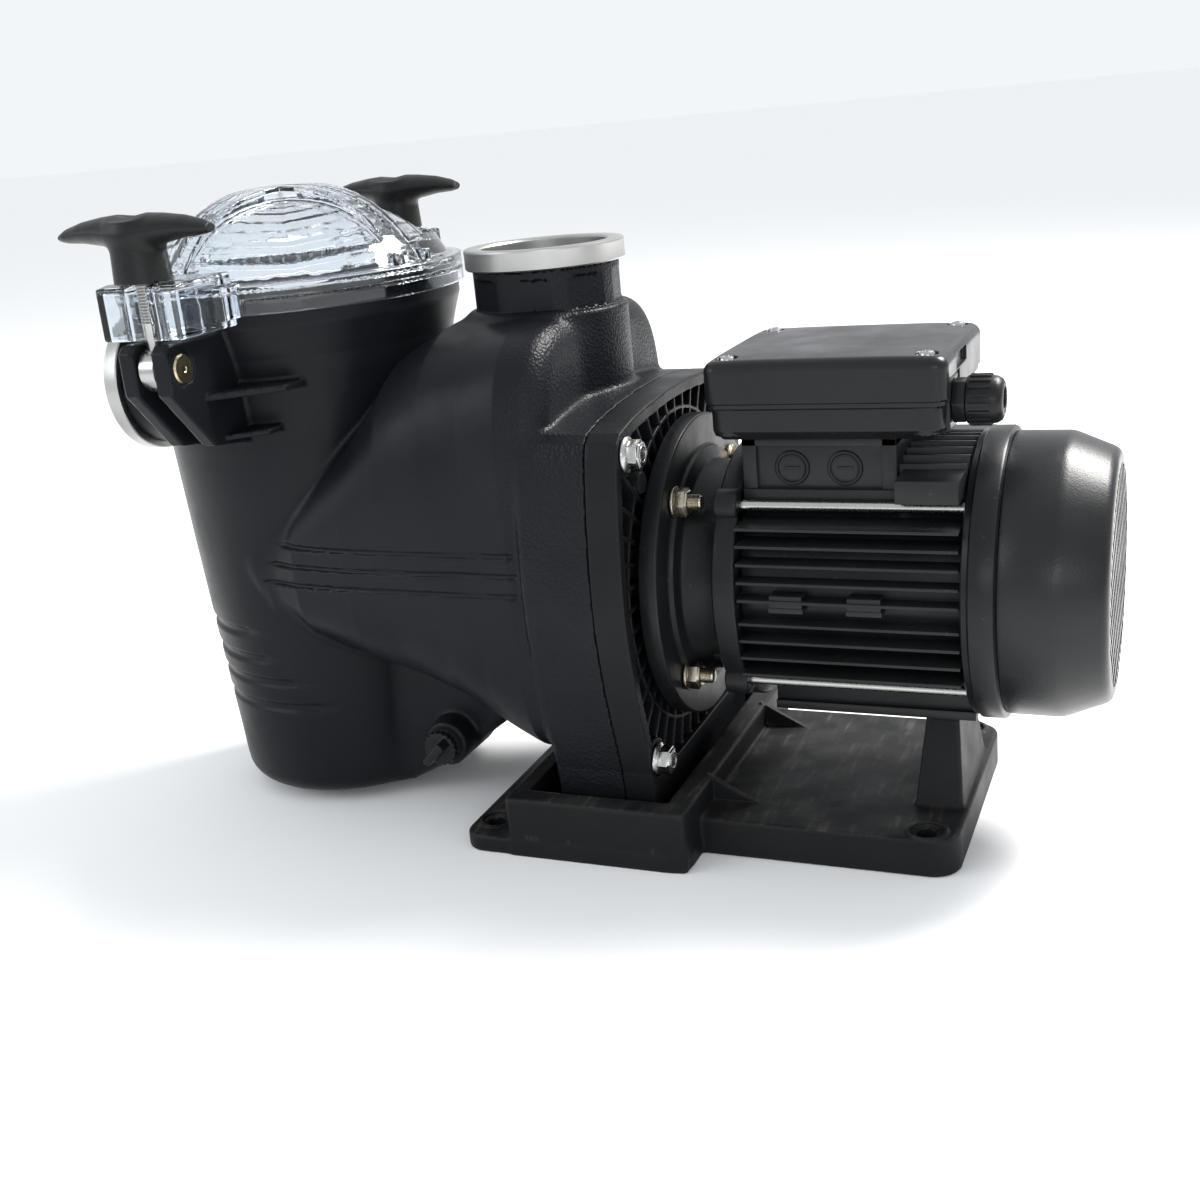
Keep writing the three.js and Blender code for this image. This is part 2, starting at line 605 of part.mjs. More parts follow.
function makeMotor() {
  place('motor_flange', makeMotorFlange(), MOTOR_PAINT, 0.35, 0.3);
  place('motor_housing', makeHousing(), MOTOR_PAINT, 0.4, 0.3);
  place('rear_endshield', makeRearShield(), MOTOR_PAINT, 0.4, 0.3);
  place('fan_cover', makeFanCover(), MOTOR_PAINT, 0.4);
  place('fan', makeFan(), 0x26282b, 0.6);
  place('stator_core', ring('x', HOUSING_BORE_R - GAP, 32, [52, 124]), 0x6f7276, 0.5, 1);
  place('winding_front', ring('x', 46, 35, [38, 52 - GAP]), 0xa5562a, 0.4, 0.6);
  place('winding_rear', ring('x', 46, 35, [124 + GAP, 138]), 0xa5562a, 0.4, 0.6);
  place('rotor', ring('x', 31.6, 9.4, [54, 122]), 0x8c8f93, 0.5, 1);
  place('shaft', turned('x', [[0, -70.5], [SHAFT_R, -70.5], [SHAFT_R, 4], [7.4, 4], [7.4, 20],
    [9, 20], [9, 143], [7.4, 143], [7.4, 155], [6.8, 155], [6.8, 186], [0, 186]]),
  STEEL, 0.25, 1);
  place('bearing_front', ring('x', BEARING_R, 7.7, [5.3, 16.3]), STEEL, 0.25, 1);
  place('bearing_rear', ring('x', BEARING_R, 7.7, [144.6, 155.6]), STEEL, 0.25, 1);
  tieRodPlaces().forEach((at, i) => place(`tie_rod_${i + 1}`,
    rod('x', 2.6, [SHIELD_RING_X[0] + 1, REAR_SHIELD_X[0] + 7], at, TINY_ROUND), STEEL, 0.25, 1));
}

// ---------------------------------------------------------------- terminal box

function boxRectangle(inset) {
  const [length, width] = BOX_LID;
  return roundedRectangle([BOX_X - length + inset, BOX_X + length - inset],
    [-width + inset, width - inset], 8 - inset);
}

function boxScrewPlaces() {
  const [dx, dy] = BOX_SCREWS;
  return BOTH_SIDES.flatMap((i) => BOTH_SIDES.map((j) => [BOX_X + i * dx, j * dy]));
}

function makeTerminalBox() {
  const [trayFloor, trayTop] = BOX_TRAY_Z;
  const [lidFoot, lidTop] = BOX_LID_Z;
  const face = BOX_X + BOX_LID[0];
  const glandWall = box([face - 8, face - 0.6], [GLAND_Y - 12, GLAND_Y + 12],
    [trayFloor + 2, GLAND_WALL_TOP]);
  const tray = join(cut(slab('z', boxRectangle(2.5), [trayFloor, trayTop]),
    slab('z', boxRectangle(5.5), [trayFloor + 3, trayTop + 1])),
  ...boxScrewPlaces().map((at) => rod('z', 4.6, [trayFloor, trayTop], at, TINY_ROUND)), glandWall);
  place('terminal_box', cut(tray,
    ...boxScrewPlaces().map((at) => rod('z', 2.3, [trayFloor + 2, trayTop + 1], at, TINY_ROUND)),
    rod('x', 8.2, [face - 12, face + 1], [GLAND_Y, GLAND_Z], SMALL_ROUND),
    box([62, 88], [-16, 16], [trayFloor - 1, trayFloor + 4])), BLACK_PLASTIC, 0.5);
  const shell = join(cut(slab('z', boxRectangle(0), [lidFoot, lidTop]),
    slab('z', boxRectangle(3), [lidFoot - 1, lidTop - 3])),
  ...boxScrewPlaces().map((at) => rod('z', 4.6, [lidFoot, lidTop - 1], at, TINY_ROUND)));
  place('terminal_box_lid', cut(shell,
    box([face - 9, face + 1], [GLAND_Y - 12.4, GLAND_Y + 12.4],
      [lidFoot - 1, GLAND_WALL_TOP + 0.4]),
    box([face - 4, face + 1], [-26, 2], [GLAND_WALL_TOP + 1.6, lidTop - 4.6]),
    ...boxScrewPlaces().map((at) => rod('z', 2.3, [lidFoot - 1, lidTop + 1], at, TINY_ROUND))),
  BLACK_PLASTIC, 0.4);
  boxScrewPlaces().forEach((at, i) => place(`box_screw_${i + 1}`,
    turned('z', [[0, trayFloor + 4], [1.9, trayFloor + 4], [1.9, lidTop + GAP],
      [3.8, lidTop + GAP], [3.4, lidTop + 2], [0, lidTop + 2.4]], at, TINY_ROUND), STEEL, 0.3, 1));
  place('terminal_block', box([56, 84], [18, 38], [trayFloor + 3 + GAP, 98]), 0x8a3b2a, 0.5);
  place('capacitor', rod('x', 14, [40, 112], [-6, 97.5]), 0xd5d6d8, 0.4);
}

function makeGland() {
  const face = BOX_X + BOX_LID[0];
  const at = [GLAND_Y, GLAND_Z];
  const body = join(rod('x', 7.9, [face - 5, face + 14], at, SMALL_ROUND),
    slab('x', hexagon(19, at), [face - 0.3, face + 5.5]));
  place('cable_gland', cut(body, rod('x', 5.5, [face - 12, face + 15], at, SMALL_ROUND)),
    BLACK_PLASTIC, 0.45);
  const seat = face + 5.5 + GAP;
  place('gland_nut', turned('x', [[8.2, seat], [11.6, seat], [12, seat + 1.5], [12, seat + 13],
    [9, seat + 16.5], [5.6, seat + 16.5], [5.6, seat + 14.5], [8.2, seat + 14.5]], at, SMALL_ROUND),
  BLACK_PLASTIC, 0.45);
  place('gland_seal', ring('x', 7.8, 4.6, [face + 14.4, face + 20], at, SMALL_ROUND), RUBBER, 0.8);
}

// ---------------------------------------------------------------- foot

function makeFoot() {
  const [frontX, blockEnd, frontHalf] = FOOT_FRONT;
  const [rearX, rearEnd, rearHalf] = FOOT_REAR;
  const pads = slab('z', roundedRectangle([frontX, blockEnd], [-frontHalf, frontHalf], 12),
    [FLOOR_Z, FOOT_PAD_TOP]);
  const block = box([-88, blockEnd], [-frontHalf, frontHalf], [FLOOR_Z, FOOT_BLOCK_TOP]);
  const trough = box([-79, -1], [-85, 85], [FOOT_PAD_TOP, FOOT_BLOCK_TOP + 1]);
  const plate = slab('z', roundedRectangle([rearX, rearEnd], [-rearHalf, rearHalf], 14),
    [FLOOR_Z, FOOT_PLATE_TOP]);
  const postRing = (x0, x1, half, z) => [[x0, -half, z], [x1, -half, z], [x1, half, z],
    [x0, half, z]];
  const post = loft([postRing(114, 138, 37, FOOT_PLATE_TOP - 1),
    postRing(117.5, 134, 21, MOTOR_FOOT_Z - GAP)]);
  const holes = FOOT_HOLES.flatMap(([x, y]) => BOTH_SIDES.map((side) => (
    rod('z', FOOT_HOLE_R, [FLOOR_Z - 1, FOOT_PLATE_TOP + 1], [x, side * y], TINY_ROUND))));
  const braces = BOTH_SIDES.map((side) => {
    const reach = [side * 48, side * 51].sort((a, b) => a - b);
    return slab('y', [[10, FOOT_PLATE_TOP - 1], [34, FOOT_PLATE_TOP - 1], [10, FOOT_BLOCK_TOP]],
      reach);
  });
  return cut(join(cut(join(pads, block), trough), cut(plate, box([rearX - 1, -1],
    [-rearHalf - 1, rearHalf + 1], [FOOT_PAD_TOP, 0])), post, ...braces), ...holes);
}

// ---------------------------------------------------------------- assembly

place('pump_body', makePumpBody(), BLACK_PLASTIC, 0.5);
makePorts();
makeDrainPlug();
makeLid();
makeBasket();
makeClampBolt(-1, 'front');
makeClampBolt(1, 'rear');
makeWetEnd();
makeMotor();
makeTerminalBox();
makeGland();
place('foot', makeFoot(), 0x202224, 0.6);

pump.position.set(ORIGIN_SHIFT, 0, SHAFT_HEIGHT);

const part = new THREE.Group();
part.add(pump);
export default part;
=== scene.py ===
"""Looks of a self-priming pool pump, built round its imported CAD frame.

Pieces are drawn in millimetres about the shaft axis, with X along the shaft towards the fan, and are
moved into the frame's metres as their meshes are made. Mouldings with blended corners are given as
distance fields and skinned; turned, pressed and extruded pieces are built face by face.
"""

import logging
import math
from collections.abc import Callable, Sequence
from dataclasses import dataclass, field
from enum import Enum
from functools import reduce

import bmesh
import bpy
import numpy as np
from mathutils import Matrix, Vector

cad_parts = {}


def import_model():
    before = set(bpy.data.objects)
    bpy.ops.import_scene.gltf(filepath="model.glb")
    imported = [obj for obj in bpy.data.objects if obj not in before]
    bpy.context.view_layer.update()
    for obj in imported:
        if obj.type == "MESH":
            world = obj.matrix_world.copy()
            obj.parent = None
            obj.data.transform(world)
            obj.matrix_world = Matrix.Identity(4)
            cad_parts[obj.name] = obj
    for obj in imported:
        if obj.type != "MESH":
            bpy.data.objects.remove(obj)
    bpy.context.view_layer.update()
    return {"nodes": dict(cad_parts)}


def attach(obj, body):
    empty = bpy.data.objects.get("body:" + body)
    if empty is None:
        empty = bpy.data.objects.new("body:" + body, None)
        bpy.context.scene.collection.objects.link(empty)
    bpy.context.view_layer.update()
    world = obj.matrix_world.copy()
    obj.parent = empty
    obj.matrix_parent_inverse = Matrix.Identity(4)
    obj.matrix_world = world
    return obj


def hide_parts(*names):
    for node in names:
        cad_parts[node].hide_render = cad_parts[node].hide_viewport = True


LOG = logging.getLogger("pool_pump")
ORIGIN_SHIFT = 69.4
SHAFT_HEIGHT = 133.7
METRES = 0.001
FLOOR_Z = -SHAFT_HEIGHT
GAP = 0.3

Array = np.ndarray
Field = Callable[[Array, Array, Array], Array]
Point = tuple[float, float, float]
Pair = tuple[float, float]
Colour = tuple[float, float, float]


class Axis(Enum):
    """The direction a piece is turned or pushed along."""

    X = 0
    Y = 1
    Z = 2


class Slot(Enum):
    """The record's material slots."""

    BODY = "body_plastic"
    FOOT = "foot_plastic"
    PORT = "port_steel"
    LID = "lid_clear"
    BASKET = "basket_plastic"
    KNOB = "knob_plastic"
    RUBBER = "rubber"
    BRASS = "brass"
    BOLT = "bolt_steel"
    STUD = "stud_zinc"
    MOTOR = "motor_paint"
    COVER = "cover_plastic"
    BOX = "box_plastic"
    IMPELLER = "impeller_plastic"
    CERAMIC = "ceramic"
    CARBON = "carbon"
    CORE = "core_steel"
    COPPER = "winding_copper"
    SHAFT = "shaft_steel"
    RESIN = "terminal_resin"
    CAPACITOR = "capacitor_white"


# ---------------------------------------------------------------- distance fields


def rounded_meet(radius: float, *parts: Array) -> Array:
    """What several solids share, with its outer corners rounded.

    Args:
        radius: Radius of the rounded corners.
        parts: Distances to the solids, negative inside.

    Returns:
        The distance to the shared solid.
    """
    lifted = [np.maximum(part + radius, 0.0) for part in parts]
    inner = np.minimum(reduce(np.maximum, parts) + radius, 0.0)
    return inner + np.sqrt(sum(part * part for part in lifted)) - radius


def blend(radius: float, a: Array, b: Array) -> Array:
    """Two solids as one, with a fillet where they meet.

    Args:
        radius: Reach of the fillet.
        a: Distance to the first solid.
        b: Distance to the second solid.

    Returns:
        The distance to both.
    """
    share = np.clip(0.5 + 0.5 * (b - a) / radius, 0.0, 1.0)
    return b + (a - b) * share - radius * share * (1.0 - share)


def carve(radius: float, a: Array, b: Array) -> Array:
    """The first solid with the second cut out of it, with a softened edge.

    Args:
        radius: Reach of the softened edge.
        a: Distance to the solid kept.
        b: Distance to the solid cut away.

    Returns:
        The distance to what is left.
    """
    return -blend(radius, -a, b)


def span(value: Array, low: float, high: float) -> Array:
    """Distance to the slab between two parallel planes."""
    return np.maximum(low - value, value - high)


def block(place: tuple[Array, Array, Array], low: Point, high: Point, radius: float) -> Array:
    """Distance to a block with rounded edges.

    Args:
        place: X, Y and Z of the points asked about.
        low: Lowest corner.
        high: Highest corner.
        radius: Radius of the edges.

    Returns:
        The distance to the block.
    """
    return rounded_meet(radius, *(span(p, a, b) for p, a, b in zip(place, low, high)))


def outline(u: Array, v: Array, corners: Sequence[Pair]) -> Array:
    """Distance to a closed outline in a plane.

    Args:
        u: First coordinate of the points asked about.
        v: Second coordinate of the points asked about.
        corners: The outline's corners in order.

    Returns:
        The distance, negative inside.
    """
    nearest = np.full(np.broadcast(u, v).shape, np.inf, np.float32)
    inside = np.zeros(nearest.shape, bool)
    for (u0, v0), (u1, v1) in zip(corners, [*corners[1:], corners[0]]):
        du, dv = u1 - u0, v1 - v0
        along = np.clip(((u - u0) * du + (v - v0) * dv) / (du * du + dv * dv), 0.0, 1.0)
        nearest = np.minimum(nearest, (u - u0 - du * along) ** 2 + (v - v0 - dv * along) ** 2)
        if dv:
            inside ^= ((v0 <= v) != (v1 <= v)) & (u < u0 + (v - v0) * du / dv)
    return np.where(inside, -1.0, 1.0) * np.sqrt(nearest)


EDGES = [(0, 1), (2, 3), (4, 5), (6, 7), (0, 2), (1, 3), (4, 6), (5, 7), (0, 4), (1, 5), (2, 6), (3, 7)]


@dataclass
class Skin:
    """The skin of a moulding given by its distance field.

    Attributes:
        shape: Distance to the moulding for X, Y and Z in shaft millimetres.
        low: Lowest corner of the room searched.
        high: Highest corner of the room searched.
        step: Distance between the samples.
    """

    shape: Field
    low: Point
    high: Point
    step: float = 1.6

    def samples(self) -> tuple[Array, list[Array]]:
        """The field at every node of a regular grid, and the grid's three axes."""
        axes = [
            np.arange(a, b + self.step, self.step, dtype=np.float32)
            for a, b in zip(self.low, self.high)
        ]
        grid = np.meshgrid(*axes, indexing="ij", sparse=True)
        values = self.shape(*grid)
        return np.broadcast_to(values, [len(a) for a in axes]).astype(np.float32), axes

    def slope(self, points: Array) -> Array:
        """The field's gradient at some points."""
        reach = 0.25
        slopes = []
        for k in range(3):
            offset = np.zeros(3, np.float32)
            offset[k] = reach
            ahead, behind = (points + offset).T, (points - offset).T
            slopes.append((self.shape(*ahead) - self.shape(*behind)) / (2.0 * reach))
        return np.stack(slopes, axis=1)

    def settle(self, points: Array, rounds: int = 3) -> tuple[Array, Array]:
        """Moves points onto the surface.

        Args:
            points: Points near the surface.
            rounds: How often they are moved.

        Returns:
            The settled points and the outward directions there.
        """
        limit = 0.45 * self.step
        start = points.copy()
        for _ in range(rounds):
            slope = self.slope(points)
            size = np.maximum((slope * slope).sum(axis=1), 0.05)
            points = points - slope * (self.shape(*points.T) / size)[:, None]
            points = start + np.clip(points - start, -limit, limit)
        slope = self.slope(points)
        return points, slope / np.maximum(np.linalg.norm(slope, axis=1, keepdims=True), 1e-6)

    def mesh(self) -> tuple[Array, Array, Array]:
        """Skins the field.

        Returns:
            Points, four-sided faces and outward directions at the points.
        """
        values, axes = self.samples()
        inside = values < 0.0
        corner_slices = [
            tuple(slice(bit, values.shape[k] - 1 + bit) for k, bit in enumerate(bits))
            for bits in np.ndindex(2, 2, 2)
        ]
        count = sum(inside[s].astype(np.int8) for s in corner_slices)
        cells = np.argwhere((count > 0) & (count < 8))
        corner = np.array(list(np.ndindex(2, 2, 2)))
        heights = np.stack([values[tuple((cells + c).T)] for c in corner], axis=1)
        total = np.zeros((len(cells), 3), np.float32)
        crossings = np.zeros(len(cells), np.float32)
        for a, b in EDGES:
            crossed = (heights[:, a] < 0) != (heights[:, b] < 0)
            rise = np.where(crossed, heights[:, b] - heights[:, a], 1.0)
            share = np.where(crossed, -heights[:, a] / rise, 0.0)[:, None]
            total += crossed[:, None] * (corner[a] + (corner[b] - corner[a]) * share)
            crossings += crossed
        points = cells + total / crossings[:, None]
        points = points * self.step + np.array([a[0] for a in axes])
        numbers = np.full([n - 1 for n in values.shape], -1, np.int64)
        numbers[tuple(cells.T)] = np.arange(len(cells))
        quads = []
        for k in range(3):
            u, v = (k + 1) % 3, (k + 2) % 3
            near = [slice(None)] * 3
            far = [slice(None)] * 3
            near[k], far[k] = slice(0, -1), slice(1, None)
            for side in (u, v):
                near[side] = far[side] = slice(1, -1)
            low, high = inside[tuple(near)], inside[tuple(far)]
            for crossed, order in ((low & ~high, (0, 1, 2, 3)), (high & ~low, (3, 2, 1, 0))):
                at = np.argwhere(crossed)
                at[:, [u, v]] += 1
                ring = []
                for du, dv in ((-1, -1), (0, -1), (0, 0), (-1, 0)):
                    cell = at.copy()
                    cell[:, u] += du
                    cell[:, v] += dv
                    ring.append(numbers[tuple(cell.T)])
                quads.append(np.stack([ring[i] for i in order], axis=1))
        points, outward = self.settle(points.astype(np.float32))
        return points, np.concatenate(quads), outward


# ---------------------------------------------------------------- faces drawn one by one


@dataclass
class Shell:
    """Closed skins gathered into one piece, in shaft millimetres.

    Attributes:
        points: Corners so far.
        faces: Faces so far, as numbers into the corners.
    """

    points: list[Point] = field(default_factory=list)
    faces: list[list[int]] = field(default_factory=list)

    def add(self, points: Sequence[Sequence[float]], faces: Sequence[Sequence[int]]) -> "Shell":
        """Adds a closed skin."""
        start = len(self.points)
        self.points += [tuple(map(float, p)) for p in points]
        self.faces += [[start + i for i in face] for face in faces]
        return self

    def prism(self, axis: Axis, corners: Sequence[Pair], low: float, high: float) -> "Shell":
        """Adds an outline pushed along an axis.

        Args:
            axis: Direction of the push; the outline lies in the other two, in cyclic order.
            corners: The outline.
            low: Start of the push.
            high: End of the push.

        Returns:
            This shell.
        """
        count = len(corners)
        area = sum(
            a[0] * b[1] - b[0] * a[1] for a, b in zip(corners, [*corners[1:], corners[0]])
        )
        ordered = list(corners) if area > 0 else list(reversed(corners))
        points = [self._turned(axis, u, v, w) for w in (low, high) for u, v in ordered]
        sides = [[i, (i + 1) % count, count + (i + 1) % count, count + i] for i in range(count)]
        ends = [list(range(count))[::-1], list(range(count, 2 * count))]
        return self.add(points, sides + ends)

    def bar(self, low: Point, high: Point) -> "Shell":
        """Adds a rectangular bar."""
        corners = [(low[0], low[1]), (high[0], low[1]), (high[0], high[1]), (low[0], high[1])]
        return self.prism(Axis.Z, corners, low[2], high[2])

    def lathe(
        self, axis: Axis, profile: Sequence[Pair], centre: Pair = (0.0, 0.0), count: int = 64,
    ) -> "Shell":
        """Adds a profile turned about an axis.

        Args:
            axis: Direction of the turning axis.
            profile: Radius and height pairs, closed on itself or running from axis to axis.
            centre: Where the axis crosses the other two directions, in cyclic order.
            count: Facets round the circle.

        Returns:
            This shell.
        """
        angles = [2.0 * math.pi * i / count for i in range(count)]
        rings: list[list[int]] = []
        points: list[Point] = []
        for radius, height in profile:
            first = len(points)
            spread = angles if radius > 1e-6 else [0.0]
            points += [
                self._turned(
                    axis, centre[0] + radius * math.cos(a), centre[1] + radius * math.sin(a), height,
                )
                for a in spread
            ]
            rings.append(list(range(first, len(points))))
        closed = profile[0][0] > 1e-6
        pairs = list(zip(rings, rings[1:])) + ([(rings[-1], rings[0])] if closed else [])
        faces = []
        for lower, upper in pairs:
            for i in range(count):
                j = (i + 1) % count
                face = [
                    lower[i % len(lower)], lower[j % len(lower)],
                    upper[j % len(upper)], upper[i % len(upper)],
                ]
                kept = [n for k, n in enumerate(face) if n != face[k - 1]]
                if len(kept) > 2:
                    faces.append(kept)
        return self.add(points, faces)

    @staticmethod
    def _turned(axis: Axis, u: float, v: float, w: float) -> Point:
        """A point whose last coordinate runs along the axis."""
        if axis is Axis.X:
            return (w, u, v)
        if axis is Axis.Y:
            return (v, w, u)
        return (u, v, w)


# ---------------------------------------------------------------- finishes


class Recipe:
    """The nodes of one material while they are put together."""

    def __init__(self, name: str) -> None:
        """Starts a material with its surface shader.

        Args:
            name: The material's name.
        """
        self.material = bpy.data.materials.new(name)
        self.material.use_nodes = True
        self.tree = self.material.node_tree
        self.shader = self.tree.nodes["Principled BSDF"]
        self.place = self.add("ShaderNodeTexCoord").outputs["Object"]

    def add(self, kind: str, feeds: dict | None = None, **settings) -> bpy.types.Node:
        """Adds a node.

        Args:
            kind: The node's type.
            feeds: Values or sockets for its inputs, by name or number.
            settings: Its own settings.

        Returns:
            The node.
        """
        node = self.tree.nodes.new(kind)
        for key, value in settings.items():
            setattr(node, key, value)
        self.feed(node, feeds or {})
        return node

    def feed(self, node: bpy.types.Node, feeds: dict) -> None:
        """Gives a node's inputs their values or links."""
        for key, value in feeds.items():
            if isinstance(value, bpy.types.NodeSocket):
                self.tree.links.new(value, node.inputs[key])
            else:
                node.inputs[key].default_value = value

    def surface(self, **feeds) -> None:
        """Feeds the surface shader; underscores in the names stand for spaces."""
        self.feed(self.shader, {key.replace("_", " "): value for key, value in feeds.items()})

    def stretched(self, scale: Point) -> bpy.types.NodeSocket:
        """The place on the piece, scaled along each axis."""
        return self.add("ShaderNodeMapping", {"Vector": self.place, "Scale": scale}).outputs[0]

    def around(self, axis: Axis, centre: Point) -> bpy.types.NodeSocket:
        """Distance from a turning axis and place along it, for turned and brushed faces.

        Args:
            axis: Direction of the turning axis.
            centre: A point on it, in the frame's metres.

        Returns:
            A place that is the same all round the axis.
        """
        moved = self.add(
            "ShaderNodeVectorMath", {0: self.place, 1: tuple(-c for c in centre)}, operation="ADD",
        ).outputs[0]
        flat = [0.0 if k == axis.value else 1.0 for k in range(3)]
        spread = self.add("ShaderNodeVectorMath", {0: moved, 1: flat}, operation="MULTIPLY").outputs[0]
        reach = self.add("ShaderNodeVectorMath", {0: spread}, operation="LENGTH").outputs["Value"]
        parts = self.add("ShaderNodeSeparateXYZ", {0: moved})
        return self.add("ShaderNodeCombineXYZ", {0: reach, 1: parts.outputs[axis.value]}).outputs[0]

    def noise(
        self, scale: float, detail: float = 3.0, at: bpy.types.NodeSocket | None = None,
    ) -> bpy.types.NodeSocket:
        """Cloudy variation from 0 to 1, with the scale in features a metre."""
        feeds = {"Vector": at or self.place, "Scale": scale, "Detail": detail}
        return self.add("ShaderNodeTexNoise", feeds).outputs["Fac"]

    def cells(self, scale: float) -> bpy.types.NodeSocket:
        """Distance to the middle of pebble-like cells."""
        feeds = {"Vector": self.place, "Scale": scale}
        return self.add("ShaderNodeTexVoronoi", feeds).outputs["Distance"]

    def range(
        self, value: bpy.types.NodeSocket, start: float, end: float, low: float, high: float,
    ) -> bpy.types.NodeSocket:
        """A value mapped from one range to another and held at its ends."""
        feeds = {"Value": value, 1: start, 2: end, 3: low, 4: high}
        return self.add("ShaderNodeMapRange", feeds).outputs[0]

    def sum(self, operation: str, a: bpy.types.NodeSocket, b: object) -> bpy.types.NodeSocket:
        """Two values combined."""
        return self.add("ShaderNodeMath", {0: a, 1: b}, operation=operation).outputs[0]

    def mix(self, share: object, a: object, b: object) -> bpy.types.NodeSocket:
        """Two colours mixed."""
        node = self.add("ShaderNodeMix", data_type="RGBA")
        for number, value in ((0, share), (6, a), (7, b)):
            if isinstance(value, tuple):
                value = (*value, 1.0)
            self.feed(node, {number: value})
        return node.outputs[2]

    def bump(
        self, height: bpy.types.NodeSocket, depth: float, below: bpy.types.NodeSocket | None = None,
    ) -> bpy.types.NodeSocket:
        """Relief of a depth in metres, over other relief if any."""
        feeds: dict = {"Height": height, "Distance": depth, "Strength": 1.0}
        if below is not None:
            feeds["Normal"] = below
        return self.add("ShaderNodeBump", feeds).outputs[0]

    def upward(self) -> bpy.types.NodeSocket:
        """How far the surface faces up, from -1 to 1."""
        normal = self.add("ShaderNodeNewGeometry").outputs["Normal"]
        return self.add("ShaderNodeSeparateXYZ", {0: normal}).outputs[2]

    def edges(self) -> bpy.types.NodeSocket:
        """How strongly the surface is an outer edge, from 0 to 1."""
        point = self.add("ShaderNodeNewGeometry").outputs["Pointiness"]
        return self.range(point, 0.52, 0.62, 0.0, 1.0)


@dataclass(frozen=True)
class Finish:
    """A finish: every finish makes its material once.

    Attributes:
        name: Name of the material.
        colour: Main colour.
    """

    name: str
    colour: Colour

    def material(self) -> bpy.types.Material:
        """The finish's material, made the first time it is asked for."""
        found = bpy.data.materials.get(self.name)
        if found is None:
            recipe = Recipe(self.name)
            self.cook(recipe)
            found = recipe.material
        return found

    def cook(self, recipe: Recipe) -> None:
        """Puts the finish's nodes together; each kind of finish has its own."""
        raise NotImplementedError

    def lighter(self, share: float) -> Colour:
        """The main colour moved towards pale grey."""
        return tuple(c + (0.55 - c) * share for c in self.colour)


@dataclass(frozen=True)
class Moulded(Finish):
    """Moulded plastic with a fine texture.

    Attributes:
        roughness: Middle roughness.
        grain: Texture features a metre.
        depth: Depth of the texture in metres.
        dust: Share of pale dust on faces that look up.
        wear: How much paler the edges are.
        coarse_from: Frame X beyond which the texture is coarse, or None.
        gloss: Strength of the mirror part of the shine.
    """

    roughness: float = 0.4
    grain: float = 1500.0
    depth: float = 0.00003
    dust: float = 0.0
    wear: float = 0.02
    coarse_from: float | None = None
    gloss: float = 0.13

    def cook(self, recipe: Recipe) -> None:
        """Puts the nodes together."""
        cloud = recipe.noise(22.0, 4.0)
        fine = recipe.noise(self.grain, 2.0)
        pebbles = recipe.cells(self.grain * 0.62)
        base = recipe.mix(recipe.range(cloud, 0.3, 0.75, 0.0, 1.0), self.colour, self.lighter(0.006))
        speckle = recipe.range(fine, 0.35, 0.8, 0.0, 0.5)
        base = recipe.mix(speckle, base, self.lighter(0.010))
        base = recipe.mix(recipe.sum("MULTIPLY", recipe.edges(), self.wear), base, self.lighter(0.5))
        if self.dust:
            flecks = recipe.range(recipe.noise(60.0, 6.0), 0.4, 0.7, 0.1, 1.0)
            facing = recipe.range(recipe.upward(), 0.55, 0.98, 0.0, self.dust)
            scuff = recipe.noise(1.0, 5.0, recipe.stretched((240.0, 22.0, 60.0)))
            marks = recipe.range(scuff, 0.52, 0.7, 0.25, 1.0)
            base = recipe.mix(
                recipe.sum("MULTIPLY", recipe.sum("MULTIPLY", flecks, marks), facing),
                base, (0.42, 0.40, 0.37),
            )
        rough = recipe.range(recipe.noise(34.0, 5.0), 0.3, 0.7, self.roughness - 0.07, self.roughness + 0.09)
        relief = recipe.bump(recipe.sum("ADD", fine, pebbles), self.depth)
        relief = recipe.bump(recipe.noise(110.0, 2.0), self.depth * 2.2, relief)
        if self.coarse_from is not None:
            along = recipe.add("ShaderNodeSeparateXYZ", {0: recipe.place}).outputs[0]
            share = recipe.range(along, self.coarse_from - 0.012, self.coarse_from + 0.004, 0.0, 1.0)
            crust = recipe.sum("MULTIPLY", recipe.cells(620.0), share)
            relief = recipe.bump(crust, 0.00028, relief)
        recipe.surface(
            Base_Color=base, Roughness=rough, Normal=relief, IOR=1.5, Specular_IOR_Level=self.gloss,
        )


@dataclass(frozen=True)
class Painted(Finish):
    """Painted metal with a little orange peel.

    Attributes:
        roughness: Middle roughness.
        peel: Depth of the orange peel in metres.
        coat: Weight of the gloss on top.
        gloss: Strength of the mirror part of the shine.
    """

    roughness: float = 0.32
    peel: float = 0.00004
    coat: float = 0.04
    gloss: float = 0.18

    def cook(self, recipe: Recipe) -> None:
        """Puts the nodes together."""
        cloud = recipe.range(recipe.noise(30.0, 4.0), 0.3, 0.7, 0.0, 1.0)
        base = recipe.mix(cloud, self.colour, self.lighter(0.008))
        base = recipe.mix(recipe.sum("MULTIPLY", recipe.edges(), 0.035), base, self.lighter(0.6))
        specks = recipe.range(recipe.noise(420.0, 3.0), 0.68, 0.76, 0.0, 0.12)
        base = recipe.mix(specks, base, self.lighter(0.3))
        rough = recipe.range(recipe.noise(55.0, 5.0), 0.3, 0.7, self.roughness - 0.06, self.roughness + 0.1)
        relief = recipe.bump(recipe.noise(260.0, 3.0), self.peel)
        relief = recipe.bump(recipe.noise(1400.0, 2.0), self.peel * 0.3, relief)
        recipe.surface(
            Base_Color=base, Roughness=rough, Normal=relief, Coat_Weight=self.coat, Coat_Roughness=0.18,
            Specular_IOR_Level=self.gloss,
        )


